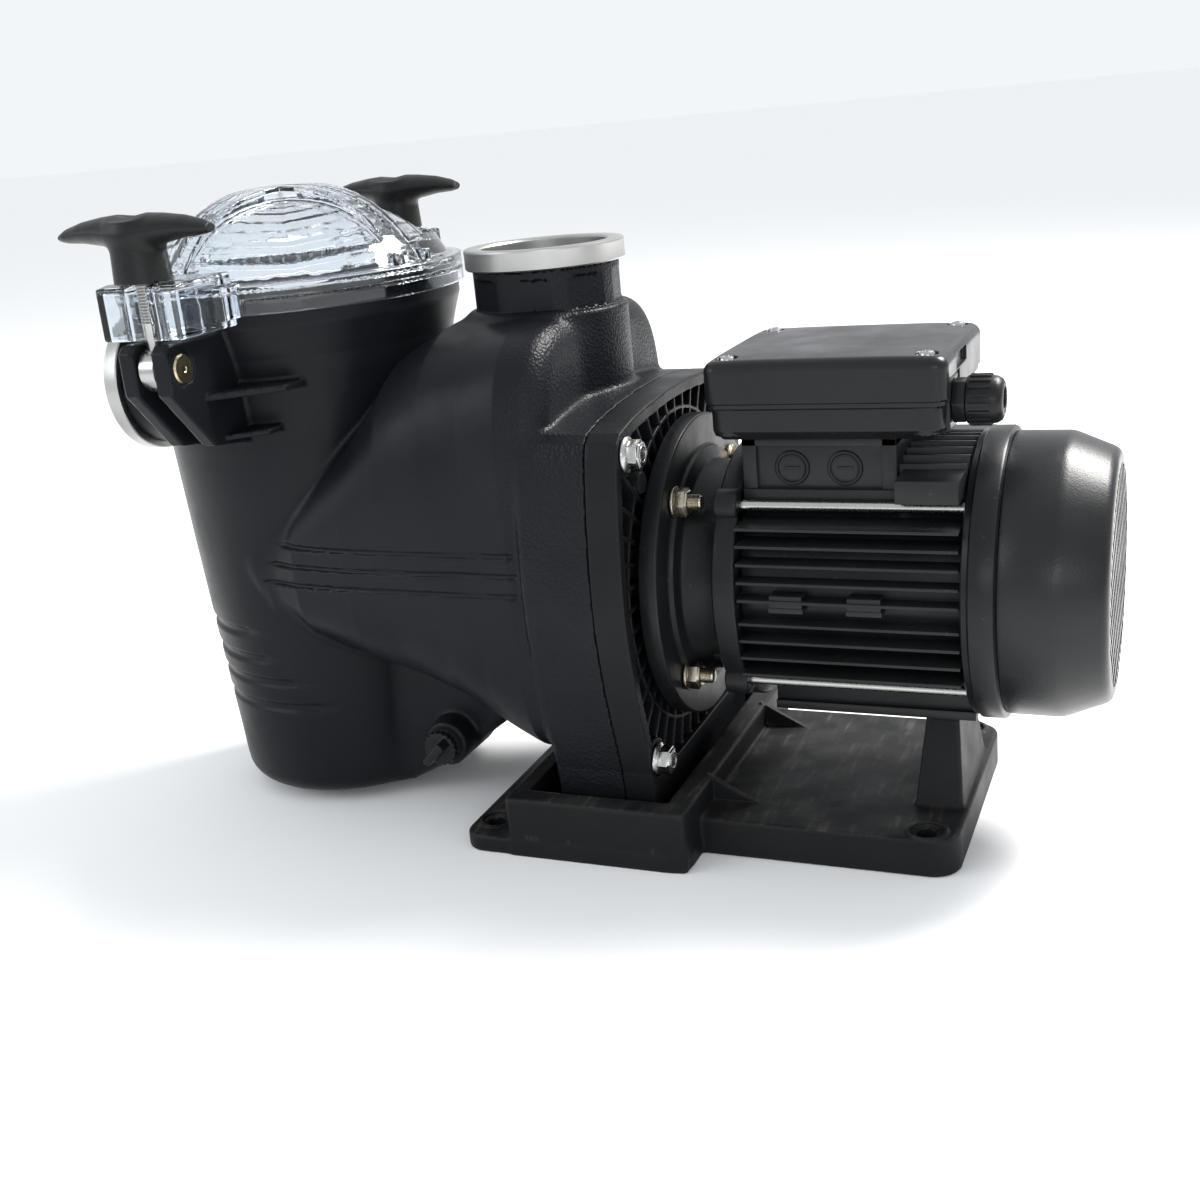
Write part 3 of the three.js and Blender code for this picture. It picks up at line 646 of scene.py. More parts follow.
@dataclass(frozen=True)
class Metal(Finish):
    """Bare metal, brushed or turned round an axis, or brushed straight.

    Attributes:
        roughness: Middle roughness.
        axis: Axis that the tool marks run round, or None for straight marks.
        centre: A point on the axis in shaft millimetres.
        marks: Tool marks a metre.
        stain: Colour of the tarnish.
    """

    roughness: float = 0.28
    axis: Axis | None = None
    centre: Point = (0.0, 0.0, 0.0)
    marks: float = 2600.0
    stain: Colour = (0.30, 0.28, 0.25)

    def cook(self, recipe: Recipe) -> None:
        """Puts the nodes together."""
        if self.axis is None:
            at = recipe.stretched((1.0, 0.08, 1.0))
        else:
            x, y, z = self.centre
            at = recipe.around(
                self.axis, ((x + ORIGIN_SHIFT) * METRES, y * METRES, (z + SHAFT_HEIGHT) * METRES),
            )
        brush = recipe.noise(self.marks, 2.0, at)
        cloud = recipe.noise(60.0, 5.0)
        base = recipe.mix(recipe.range(brush, 0.3, 0.7, 0.0, 0.25), self.colour, self.lighter(0.4))
        base = recipe.mix(recipe.range(cloud, 0.5, 0.8, 0.0, 0.35), base, self.stain)
        grazes = recipe.noise(900.0, 2.0, recipe.stretched((1.0, 1.0, 0.15)))
        scratch = recipe.range(grazes, 0.6, 0.8, 0.0, 0.15)
        rough = recipe.range(brush, 0.25, 0.75, self.roughness - 0.08, self.roughness + 0.1)
        rough = recipe.sum("ADD", rough, scratch)
        relief = recipe.bump(brush, 0.000006, recipe.bump(cloud, 0.00003))
        recipe.surface(Base_Color=base, Metallic=1.0, Roughness=rough, Normal=relief)


@dataclass(frozen=True)
class Clear(Finish):
    """Clear moulded polycarbonate."""

    def cook(self, recipe: Recipe) -> None:
        """Puts the nodes together."""
        haze = recipe.noise(26.0, 4.0)
        base = recipe.mix(recipe.range(haze, 0.35, 0.7, 0.0, 1.0), self.colour, (0.96, 0.98, 1.0))
        rough = recipe.range(recipe.noise(80.0, 5.0), 0.45, 0.75, 0.015, 0.09)
        relief = recipe.bump(recipe.noise(48.0, 2.0), 0.0005)
        recipe.surface(
            Base_Color=base, Roughness=rough, Normal=relief, Transmission_Weight=1.0, IOR=1.5,
        )


@dataclass(frozen=True)
class Wound(Finish):
    """Lacquered copper wire wound round the shaft."""

    def cook(self, recipe: Recipe) -> None:
        """Puts the nodes together."""
        at = recipe.around(Axis.X, (0.0, 0.0, SHAFT_HEIGHT * METRES))
        wires = recipe.noise(1100.0, 1.0, at)
        base = recipe.mix(recipe.range(wires, 0.35, 0.65, 0.0, 1.0), self.colour, (0.12, 0.035, 0.012))
        recipe.surface(Base_Color=base, Metallic=0.7, Roughness=0.35, Normal=recipe.bump(wires, 0.0004))


BODY_BLACK = Moulded("body black", (0.0046, 0.0056, 0.0078), roughness=0.36, coarse_from=0.004)
BRACKET_BLACK = Moulded(
    "bracket black", (0.0046, 0.0052, 0.0066), roughness=0.42, grain=1100.0, depth=0.00006,
)
FOOT_BLACK = Moulded(
    "foot black", (0.0062, 0.0066, 0.0076), roughness=0.5, grain=1000.0, depth=0.00005, dust=0.2, wear=0.05,
)
KNOB_BLACK = Moulded(
    "knob black", (0.0066, 0.0068, 0.0072), roughness=0.38, grain=1300.0, depth=0.00007, gloss=0.2,
)
BOX_BLACK = Moulded(
    "box black", (0.0056, 0.0066, 0.0082), roughness=0.3, grain=1600.0, depth=0.000025, gloss=0.24,
)
COVER_BLACK = Moulded("cover black", (0.0052, 0.0062, 0.0076), roughness=0.31, depth=0.000035, gloss=0.28)
GLAND_BLACK = Moulded("gland black", (0.0052, 0.0056, 0.0062), roughness=0.34, depth=0.00004, gloss=0.2)
MOTOR_BLACK = Painted("motor black", (0.0044, 0.0052, 0.0064), roughness=0.32)
CAST_BLACK = Painted("cast black", (0.0046, 0.0054, 0.0066), roughness=0.36, peel=0.00009)
RUBBER_BLACK = Moulded("rubber", (0.012, 0.012, 0.012), roughness=0.72, grain=700.0, depth=0.00006)
PALE_BASKET = Moulded("basket plastic", (0.66, 0.71, 0.80), roughness=0.42, grain=900.0, gloss=0.5)
LID_CLEAR = Clear("clear lid", (0.90, 0.95, 1.0))
SUCTION_STEEL = Metal("suction steel", (0.40, 0.40, 0.39), 0.36, Axis.X, (0.0, 0.0, 106.3))
DISCHARGE_STEEL = Metal("discharge steel", (0.40, 0.40, 0.39), 0.36, Axis.Z, (-78.1, 0.0, 0.0))
BOLT_STEEL = Metal("bolt steel", (0.42, 0.42, 0.41), 0.24, stain=(0.20, 0.18, 0.16))
STUD_ZINC = Metal("stud zinc", (0.40, 0.36, 0.28), 0.26, stain=(0.36, 0.25, 0.11))
PIN_BRASS = Metal("pin brass", (0.62, 0.50, 0.30), 0.25, stain=(0.36, 0.26, 0.13), marks=3600.0)
SHAFT_STEEL = Metal("shaft steel", (0.62, 0.62, 0.62), 0.2, Axis.X)
CORE_STEEL = Metal("core steel", (0.32, 0.33, 0.34), 0.4, Axis.X, marks=2000.0, stain=(0.14, 0.12, 0.10))
WET_PLASTIC = Moulded("impeller plastic", (0.02, 0.022, 0.025), roughness=0.42)
CERAMIC = Moulded("ceramic", (0.78, 0.76, 0.70), roughness=0.24, depth=0.00001)
CARBON = Moulded("carbon", (0.03, 0.03, 0.032), roughness=0.5)
COPPER = Wound("winding copper", (0.46, 0.17, 0.06))
RESIN = Moulded("terminal resin", (0.30, 0.05, 0.03), roughness=0.45)
CAPACITOR = Moulded("capacitor can", (0.62, 0.63, 0.65), roughness=0.35)
FLOOR = Moulded(
    "floor", (0.96, 0.96, 0.96), roughness=0.9, grain=400.0, depth=0.00002, wear=0.0, gloss=0.1,
)


# ---------------------------------------------------------------- making pieces


def to_frame(points: Array) -> Array:
    """Shaft millimetres as the frame's metres."""
    return (np.asarray(points, float) + (ORIGIN_SHIFT, 0.0, SHAFT_HEIGHT)) * METRES


@dataclass(frozen=True)
class Part:
    """What a made piece is and what it stands for.

    Attributes:
        name: Name of the piece.
        slot: Material slot it stands for; not used.
        finish: Its finish.
        body: CAD body it rides on.
        nodes: CAD nodes it stands for.
    """

    name: str
    slot: Slot
    finish: Finish
    body: str = "frame"
    nodes: tuple[str, ...] = ()

    def hang(self, mesh: bpy.types.Mesh) -> bpy.types.Object:
        """Makes the piece from its mesh and hangs it on its body.

        Args:
            mesh: The finished mesh in the frame's metres.

        Returns:
            The piece.
        """
        mesh.materials.append(self.finish.material())
        piece = bpy.data.objects.new(self.name, mesh)
        bpy.context.scene.collection.objects.link(piece)
        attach(piece, self.body)
        if self.nodes:
            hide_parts(*self.nodes)
        LOG.info("%s: %d faces on %s", self.name, len(mesh.polygons), self.body)
        return piece

    def skinned(self, skin: Skin) -> bpy.types.Object:
        """Makes the piece from a distance field."""
        points, quads, outward = skin.mesh()
        mesh = bpy.data.meshes.new(self.name)
        mesh.vertices.add(len(points))
        mesh.vertices.foreach_set("co", to_frame(points).astype(np.float32).ravel())
        mesh.loops.add(quads.size)
        mesh.loops.foreach_set("vertex_index", quads.astype(np.int32).ravel())
        mesh.polygons.add(len(quads))
        mesh.polygons.foreach_set("loop_start", np.arange(0, quads.size, 4, dtype=np.int32))
        mesh.update(calc_edges=True)
        mesh.validate()
        mesh.polygons.foreach_set("use_smooth", np.ones(len(mesh.polygons), bool))
        mesh.normals_split_custom_set_from_vertices(outward.tolist())
        return self.hang(mesh)

    def shaped(self, shell: Shell, bevel: float = 0.5, crease: float = 34.0) -> bpy.types.Object:
        """Makes the piece from shells drawn face by face.

        Args:
            shell: The shells, in shaft millimetres.
            bevel: Width of the bevel on sharp edges, in millimetres; 0 for none.
            crease: Angle in degrees above which an edge is sharp.

        Returns:
            The piece.
        """
        mesh = bpy.data.meshes.new(self.name)
        mesh.from_pydata(to_frame(shell.points).tolist(), [], shell.faces)
        work = bmesh.new()
        work.from_mesh(mesh)
        bmesh.ops.recalc_face_normals(work, faces=work.faces)
        if bevel:
            sharp = [
                e for e in work.edges
                if e.is_manifold and e.calc_face_angle(0.0) > math.radians(crease)
            ]
            bmesh.ops.bevel(
                work, geom=sharp, offset=bevel * METRES, offset_type="OFFSET", segments=2,
                profile=0.5, affect="EDGES", clamp_overlap=True,
            )
        work.to_mesh(mesh)
        work.free()
        mesh.polygons.foreach_set("use_smooth", np.ones(len(mesh.polygons), bool))
        mesh.set_sharp_from_angle(angle=math.radians(crease))
        return self.hang(mesh)


def ring_of(count: int, radius: float, centre: Pair = (0.0, 0.0), turn: float = 0.0) -> list[Pair]:
    """Points spread evenly round a circle.

    Args:
        count: How many.
        radius: The circle's radius.
        centre: Its middle.
        turn: Angle of the first point.

    Returns:
        The points.
    """
    angles = [turn + 2.0 * math.pi * i / count for i in range(count)]
    return [(centre[0] + radius * math.cos(a), centre[1] + radius * math.sin(a)) for a in angles]


def both(value: float) -> tuple[float, float]:
    """A value on each side of the middle."""
    return (-value, value)


# ---------------------------------------------------------------- pump body


def table(value: Array, at: Sequence[float], to: Sequence[float]) -> Array:
    """A size read off a table of stations, straight between them."""
    return np.interp(value, at, to).astype(np.float32)


def mirrored(half: Sequence[Pair]) -> list[Pair]:
    """A whole outline from its half at positive Y, listed from the bottom up."""
    return [*half, *((-y, z) for y, z in reversed(half))]


FLANGE_HALF = (
    (76.0, -122.0), (80.0, -88.0), (86.6, -63.0), (92.0, -42.0), (95.6, -22.0), (97.9, -5.0),
    (98.3, 8.0), (97.6, 26.0), (95.5, 50.0), (92.8, 68.0), (90.6, 79.0), (88.0, 85.5),
    (83.0, 89.2), (66.0, 92.6), (45.0, 95.0), (15.0, 97.0),
)
FLANGE_BOLTS = ((-79.0, 78.0), (79.0, 78.0), (-72.0, -83.0), (72.0, -83.0))
STUD_PLACES = tuple((y, z) for z in both(45.96) for y in both(45.96))


@dataclass
class PumpBody:
    """The one-piece body: strainer pot, volute, flange, necks, clevises and drain boss.

    Attributes:
        pot_x: The pot's axis.
        pot_heights: Heights at which the pot's outside radius is given.
        pot_radii: The pot's outside radius there.
        cavity_heights: Heights at which the radius of the room inside the pot is given.
        cavity_radii: The room's radius there.
        wraps: Height of each groove round the foot of the pot, and X where it ends.
        stations: X, half width, top, bottom and squareness of the volute's section.
        side_grooves: Heights of the long grooves on the volute's sides.
        neck: X of the discharge neck's axis, its radius and the height of its top.
        suction: Height of the suction neck's axis, its radius and X of its end.
        clevis: Outline of a clamp clevis plate, for one side.
        drain: X and height of the drain boss and Y of its face.
    """

    pot_x: float = -234.5
    pot_heights: tuple[float, ...] = (-128, -112, -88, -30, 20, 74, 112, 128, 138, 145, 160)
    pot_radii: tuple[float, ...] = (67.5, 69.2, 70.7, 74.5, 77.5, 80.4, 84, 86.6, 89.6, 92, 92)
    cavity_heights: tuple[float, ...] = (-121, -88, 74, 112, 138, 160)
    cavity_radii: tuple[float, ...] = (63.5, 66, 75.8, 79, 84, 84)
    wraps: tuple[Pair, ...] = ((-26, -238), (-42, -229), (-56, -214), (-71, -201))
    stations: tuple[tuple[float, ...], ...] = (
        (-246, 66, 16, 10, 2.2), (-238, 73, 28, 0, 2.3), (-228, 77.5, 37, -22, 2.5),
        (-205, 85, 60, -38, 2.8), (-170, 89.5, 92, -51, 3.0), (-145, 91, 124, -59, 3.1),
        (-119, 92, 137, -70, 3.2), (-95, 92.5, 139, -82, 3.6), (-72, 94, 139, -88, 4.6),
        (-50, 88, 137.5, -88, 5.0),
    )
    side_grooves: tuple[float, ...] = (29.0, 18.5, 8.0)
    neck: Point = (-78.1, 38.2, 161.1)
    suction: Point = (106.3, 38.0, -336.7)
    clevis: tuple[Pair, ...] = ((70, 146), (134, 146), (138, 142), (138, 121), (111, 90), (70, 84))
    drain: Point = (-143.0, -93.0, -56.0)

    def pot(self, x: Array, y: Array, z: Array) -> Array:
        """Distance to the outside of the strainer pot, with its wrap grooves."""
        side = np.hypot(x - self.pot_x, y) - table(z, self.pot_heights, self.pot_radii)
        pot = rounded_meet(11.0, side, -128.0 - z)
        for height, end in self.wraps:
            fade = np.clip((end - x) / 14.0, -1.0, 1.0)
            lip = np.hypot(side - 0.4, (z - height) * 0.75) - 2.2 * fade
            pot = carve(1.2, pot, lip)
        return np.maximum(pot, z - 160.0)

    def volute(self, x: Array, y: Array, z: Array) -> Array:
        """Distance to the swelling that grows out of the pot, with its side grooves."""
        at, widths, tops, bottoms, powers = zip(*self.stations)
        width, power = table(x, at, widths), table(x, at, powers)
        top, bottom = table(x, at, tops), table(x, at, bottoms)
        half = (top - bottom) / 2.0
        across = np.abs(y) / width
        height = np.abs(z - (top + bottom) / 2.0) / half
        reach = (across**power + height**power + 1e-6) ** (1.0 / power)
        swelling = (reach - 1.0) * np.minimum(width, half)
        swelling = rounded_meet(11.0, swelling, x + 49.0, -244.0 - x)
        for groove in self.side_grooves:
            fade = np.clip(np.minimum((x + 237.0) / 8.0, (-66.0 - x) / 3.0), -1.0, 1.0)
            line = np.hypot(swelling - 0.2, z - groove - (x + 150.0) * 0.012) - 1.35 * fade
            swelling = carve(0.7, swelling, line)
        return swelling

    def necks(self, x: Array, y: Array, z: Array) -> tuple[Array, Array, Array]:
        """Distances to the discharge neck's flats, its collar and the suction neck."""
        axis, radius, top = self.neck
        dx = x - axis
        flats = np.maximum(np.hypot(dx, y) - radius, reduce(np.maximum, [
            np.abs(dx * math.cos(a) + y * math.sin(a)) for a in (0.2, 0.985, 1.77, 2.556)
        ]) - radius + 1.5)
        neck = np.maximum(flats, span(z, 60.0, top))
        collar = rounded_meet(2.0, np.hypot(dx, y) - radius - 3.0, span(z, 60.0, 139.5))
        lip = np.maximum(np.hypot(dx, y) - radius, span(z, top - 4.5, top))
        height, reach, end = self.suction
        port = np.maximum(np.hypot(y, z - height) - reach, span(x, end, self.pot_x - 40.0))
        shoulder = rounded_meet(
            2.0, np.hypot(y, z - height) - reach - 3.0, span(x, -318.0, self.pot_x - 40.0),
        )
        return np.minimum(neck, lip), collar, blend(4.0, port, shoulder)

    def clevises(self, x: Array, y: Array, z: Array) -> Array:
        """Distance to the two pairs of clevis plates and their braces."""
        side = np.abs(y)
        plate = outline(side, z, self.clevis)
        middle = np.abs(x - self.pot_x)
        plates = rounded_meet(1.6, plate + 0.2, span(middle, 5.5, 14.5))
        slope = (side + 0.78 * middle - 124.0) / 1.27
        brace = rounded_meet(0.8, slope, span(middle, 12.0, 46.0), span(z, 113.3, 116.8), 68.0 - side)
        low = rounded_meet(0.8, slope + 8.0, span(middle, 12.0, 32.0), span(z, 91.0, 94.0), 68.0 - side)
        hole = np.hypot(side - 125.3, z - 132.3) - 7.8
        return np.maximum(np.minimum(np.minimum(plates, brace), low), -hole)

    def underside(self, x: Array, y: Array, z: Array) -> Array:
        """Distance to the web under the volute and the drain boss on it."""
        web = outline(x, z, ((-235, -40), (-104, -40), (-104, -78), (-150, -112), (-178, -126), (-235, -126)))
        web = rounded_meet(7.0, web, np.abs(y) - 42.0)
        drain_x, drain_z, face = self.drain
        reach = np.hypot(x - drain_x, z - drain_z)
        boss = rounded_meet(1.5, reach - 13.0, span(y, face, -20.0))
        return blend(3.0, web, boss)

    def hollows(self, x: Array, y: Array, z: Array) -> Array:
        """Distance to all the rooms and holes inside the body."""
        pot = np.hypot(x - self.pot_x, y) - table(z, self.cavity_heights, self.cavity_radii)
        rooms = [rounded_meet(6.0, pot, -121.0 - z)]
        axis = np.hypot(y, z)
        for radius, start, end in ((70.0, -100.0, -20.0), (50.0, -135.0, -90.0), (24.0, -180.0, -130.0)):
            rooms.append(np.maximum(axis - radius, span(x, start, end)))
        neck_x, _, top = self.neck
        bore = np.hypot(x - neck_x, y) - table(z, (60, 146, 150, 165), (28, 28, 33, 33))
        rooms.append(np.maximum(bore, 50.0 - z))
        height, _, end = self.suction
        intake = np.hypot(y, z - height) - table(x, (-340, -326, -322, -290), (33, 33, 28, 28))
        rooms.append(np.maximum(intake, x + 290.0))
        drain_x, drain_z, face = self.drain
        drain = np.hypot(x - drain_x, z - drain_z) - 7.3
        rooms.append(np.maximum(drain, span(y, face - 5.0, -12.0)))
        for by, bz in FLANGE_BOLTS:
            rooms.append(np.maximum(np.hypot(y - by, z - bz) - 4.3, -60.0 - x))
        return reduce(np.minimum, rooms)

    def shape(self, x: Array, y: Array, z: Array) -> Array:
        """Distance to the whole body."""
        neck, collar, port = self.necks(x, y, z)
        body = blend(5.0, self.pot(x, y, z), self.underside(x, y, z))
        body = blend(5.0, body, self.volute(x, y, z))
        body = blend(6.0, body, port)
        body = blend(7.0, body, collar)
        flange = rounded_meet(4.5, outline(y, z, mirrored(FLANGE_HALF)), -65.0 - x)
        flange = np.maximum(flange, x + 27.0)
        body = blend(4.0, body, flange)
        body = blend(2.5, body, self.clevises(x, y, z))
        body = np.minimum(body, neck)
        return np.maximum(body, -self.hollows(x, y, z))

    def build(self) -> None:
        """Makes the body."""
        part = Part("pump_body_moulding", Slot.BODY, BODY_BLACK, nodes=("pump_body",))
        part.skinned(Skin(self.shape, (-341.0, -141.0, -131.0), (-24.0, 141.0, 164.0), 1.6))


@dataclass
class Ports:
    """The stainless rings on the two ports.

    Attributes:
        outer: Outside radius.
        inner: Radius of the bore.
    """

    outer: float = 41.9
    inner: float = 33.3

    def profile(self, low: float, high: float) -> list[Pair]:
        """Section of a ring whose open end is at high: a rolled lip, a shallow waist and a stepped bore."""
        step = 1.0 if high > low else -1.0
        o, i = self.outer, self.inner
        return [
            (i, low), (o - 0.7, low), (o - 0.1, low + 0.7 * step), (o - 0.1, high - 1.6 * step),
            (o, high - 1.2 * step), (o - 0.3, high - 0.35 * step), (o - 1.2, high),
            (i + 2.2, high), (i + 0.7, high - 0.3 * step), (i, high - 1.2 * step),
        ]

    def build(self) -> None:
        """Makes both rings."""
        Part("suction_port_ring", Slot.PORT, SUCTION_STEEL, nodes=("suction_ring",)).shaped(
            Shell().lathe(Axis.X, self.profile(-337.0, -346.0), (0.0, 106.3), 128), bevel=0.0,
        )
        Part("discharge_port_ring", Slot.PORT, DISCHARGE_STEEL, nodes=("discharge_ring",)).shaped(
            Shell().lathe(Axis.Z, self.profile(161.4, 171.9), (-78.1, 0.0), 128), bevel=0.0,
        )


@dataclass
class DrainPlug:
    """The drain plug with its finger wing.

    Attributes:
        x: X of its axis.
        z: Height of its axis.
        face: Y of the cap's inner face.
        tilt: Angle at which the wing stands.
    """

    x: float = -143.0
    z: float = -93.0
    face: float = -58.6
    tilt: float = 0.8

    def shape(self, x: Array, y: Array, z: Array) -> Array:
        """Distance to the plug."""
        dx, dz = x - self.x, z - self.z
        reach = np.hypot(dx, dz)
        notches = 0.35 * np.cos(18.0 * np.arctan2(dz, dx))
        cap = rounded_meet(1.2, reach - 9.7 - notches, span(y, self.face - 4.6, self.face))
        along = dx * math.cos(self.tilt) + dz * math.sin(self.tilt)
        across = dz * math.cos(self.tilt) - dx * math.sin(self.tilt)
        wing = rounded_meet(
            1.4, np.abs(along) - 8.0, np.abs(across) - 2.4, span(y, self.face - 13.6, self.face - 2.0),
        )
        thread = reach - 6.5 - 0.35 * np.cos(y * 4.2)
        shank = np.maximum(thread, span(y, self.face - 1.0, -30.0))
        return np.minimum(blend(1.5, cap, wing), shank)

    def build(self) -> None:
        """Makes the plug."""
        Part("drain_plug_cap", Slot.BODY, GLAND_BLACK, "drain_cap", ("drain_plug",)).skinned(
            Skin(self.shape, (-154.5, -73.5, -104.5), (-131.5, -28.5, -81.5), 0.55),
        )


# ---------------------------------------------------------------- lid, basket and clamps


@dataclass
class Lid:
    """The clear lid: a ribbed dome over a skirt, with a forked hollow ear on each side.

    Attributes:
        pot_x: The lid's axis.
        dome_radii: Radii at which the dome's height is given.
        dome_heights: The dome's height there.
        rib: Half width of the arched ribs.
        sink: How far the panels between the ribs lie below them.
        wall: Wall thickness.
        turn: Angle of the first rib.
    """

    pot_x: float = -234.5
    dome_radii: tuple[float, ...] = (0, 12, 22, 32, 42, 52, 60, 68, 74, 79, 83, 86, 88, 90, 200)
    dome_heights: tuple[float, ...] = (
        211.2, 210.9, 210.1, 208.5, 206, 202.4, 198.3, 192.6, 187, 181.6, 176, 170.6, 167.2, 166.6, 166.6,
    )
    rib: float = 9.5
    sink: float = 7.0
    wall: float = 2.8
    turn: float = -0.19

    def dome(self, x: Array, y: Array, z: Array) -> Array:
        """Distance to the ribbed dome and its skirt."""
        dx = x - self.pot_x
        reach = np.hypot(dx, y)
        high = table(reach, self.dome_radii, self.dome_heights)
        off = [
            np.abs(dx * math.sin(self.turn + k * math.pi / 2) - y * math.cos(self.turn + k * math.pi / 2))
            for k in range(2)
        ]
        off_rib = np.minimum(*off)
        facet = np.abs(off[0] - off[1]) * 0.06
        low = high - self.sink - 1.2 + facet
        outside = rounded_meet(0.9, z - high, reach - 95.5, 151.6 - z)
        panel = rounded_meet(1.6, self.rib - off[0], self.rib - off[1], reach - 80.0, low - z)
        outside = carve(0.8, outside, panel)
        crease = rounded_meet(0.5, off_rib - 0.9, high - 1.3 - z, reach - 78.0)
        outside = carve(0.5, outside, crease)
        lip = rounded_meet(0.6, span(reach, 93.4, 97.0), span(z, 158.6, 160.2))
        outside = carve(0.4, outside, lip)
        under_rib = np.maximum(z - high + self.wall, off_rib - self.rib + self.wall)
        under_panel = z - low + self.wall
        room = np.maximum(reach - 84.0, np.minimum(under_rib, under_panel))
        seat = np.maximum(reach - 92.5, z - 163.3)
        return np.maximum(outside, -np.minimum(room, seat))

    def ears(self, x: Array, y: Array, z: Array) -> Array:
        """Distance to the two forked ears, which are open underneath."""
        side, middle = np.abs(y), np.abs(x - self.pot_x)
        top = 174.5 - 1.2 * np.clip((side - 125.3) / 8.7, 0.0, 1.0)
        ear = rounded_meet(1.4, middle - 24.0, span(side, 84.0, 134.0), z - top, 147.5 - z)
        root = rounded_meet(1.2, middle - 28.5, span(side, 84.0, 106.0), span(z, 151.5, 168.6))
        ear = np.minimum(ear, root)
        fork = np.minimum(np.maximum(middle - 6.0, 124.3 - side), np.hypot(middle, side - 125.3) - 6.0)
        ear = carve(0.8, ear, fork)
        pocket = rounded_meet(1.2, span(middle, 9.2, 21.0), span(side, 100.0, 131.0), z - 171.3)
        inner = rounded_meet(1.2, middle - 6.4, span(side, 98.0, 114.0), z - 171.3)
        pocket = np.minimum(pocket, inner)
        reach = np.hypot(x - self.pot_x, y)
        return np.maximum(np.maximum(ear, -pocket), 92.5 - reach)

    def blocks(self, x: Array, y: Array, z: Array) -> Array:
        """Distance to the small stop blocks at the feet of the ribs."""
        dx = x - self.pot_x
        found = []
        for k in range(4):
            angle = self.turn + k * math.pi / 2
            along = dx * math.cos(angle) + y * math.sin(angle)
            across = np.abs(y * math.cos(angle) - dx * math.sin(angle))
            found.append(rounded_meet(
                0.8, span(across, 8.0, 13.0), span(along, 78.0, 91.5), span(z, 165.5, 173.0),
            ))
        return reduce(np.minimum, found)

    def shape(self, x: Array, y: Array, z: Array) -> Array:
        """Distance to the whole lid."""
        dome = self.dome(x, y, z)
        return blend(0.8, np.minimum(dome, self.blocks(x, y, z)), self.ears(x, y, z))

    def build(self) -> None:
        """Makes the lid."""
        Part("lid_moulding", Slot.LID, LID_CLEAR, nodes=("strainer_lid",)).skinned(
            Skin(self.shape, (-332.0, -136.0, 145.5), (-137.0, 136.0, 213.5), 1.15),
        )


@dataclass
class Basket:
    """The strainer basket: upright staves and hoops under a wide rim.

    Attributes:
        pot_x: Its axis.
        staves: How many staves.
        hoops: Heights of the hoops.
    """

    pot_x: float = -234.5
    staves: int = 48
    hoops: tuple[float, ...] = (-96.0, -66.0, -36.0, -6.0, 24.0, 54.0)

    def reach(self, height: float) -> float:
        """Outside radius of the wall at a height."""
        return float(np.interp(height, (-104.0, 60.0, 132.0), (52.0, 70.0, 74.0)))

    def build(self) -> None:
        """Makes the basket."""
        shell = Shell()
        at = (self.pot_x, 0.0)
        shell.lathe(Axis.Z, ((0, -104), (51.5, -104), (52.3, -102), (51, -100.5), (0, -101)), at, 96)
        rim = ((71.2, 126), (74, 126), (74.4, 131.4), (78, 132), (78, 134.6), (72, 135), (71, 133))
        shell.lathe(Axis.Z, rim, at, 96)
        for height in self.hoops:
            r = self.reach(height)
            top = height + 2.4
            hoop = ((r - 2.6, height), (r - 0.2, height), (r, top), (r - 2.4, top))
            shell.lathe(Axis.Z, hoop, at, 96)
        for i in range(self.staves):
            angle = 2.0 * math.pi * i / self.staves
            out, along = (math.cos(angle), math.sin(angle)), (-math.sin(angle), math.cos(angle))
            points = []
            for height in (-103.0, 60.0, 128.0):
                r = self.reach(height)
                for depth, half in ((r - 2.4, -1.0), (r - 0.4, -1.3), (r - 0.4, 1.3), (r - 2.4, 1.0)):
                    points.append((
                        self.pot_x + out[0] * depth + along[0] * half,
                        out[1] * depth + along[1] * half, height,
                    ))
            sides = [
                [4 * j + k, 4 * j + (k + 1) % 4, 4 * j + 4 + (k + 1) % 4, 4 * j + 4 + k]
                for j in range(2) for k in range(4)
            ]
            shell.add(points, [*sides, [3, 2, 1, 0], [8, 9, 10, 11]])
        Part("basket_moulding", Slot.BASKET, PALE_BASKET, nodes=("strainer_basket",)).shaped(shell, bevel=0.0)


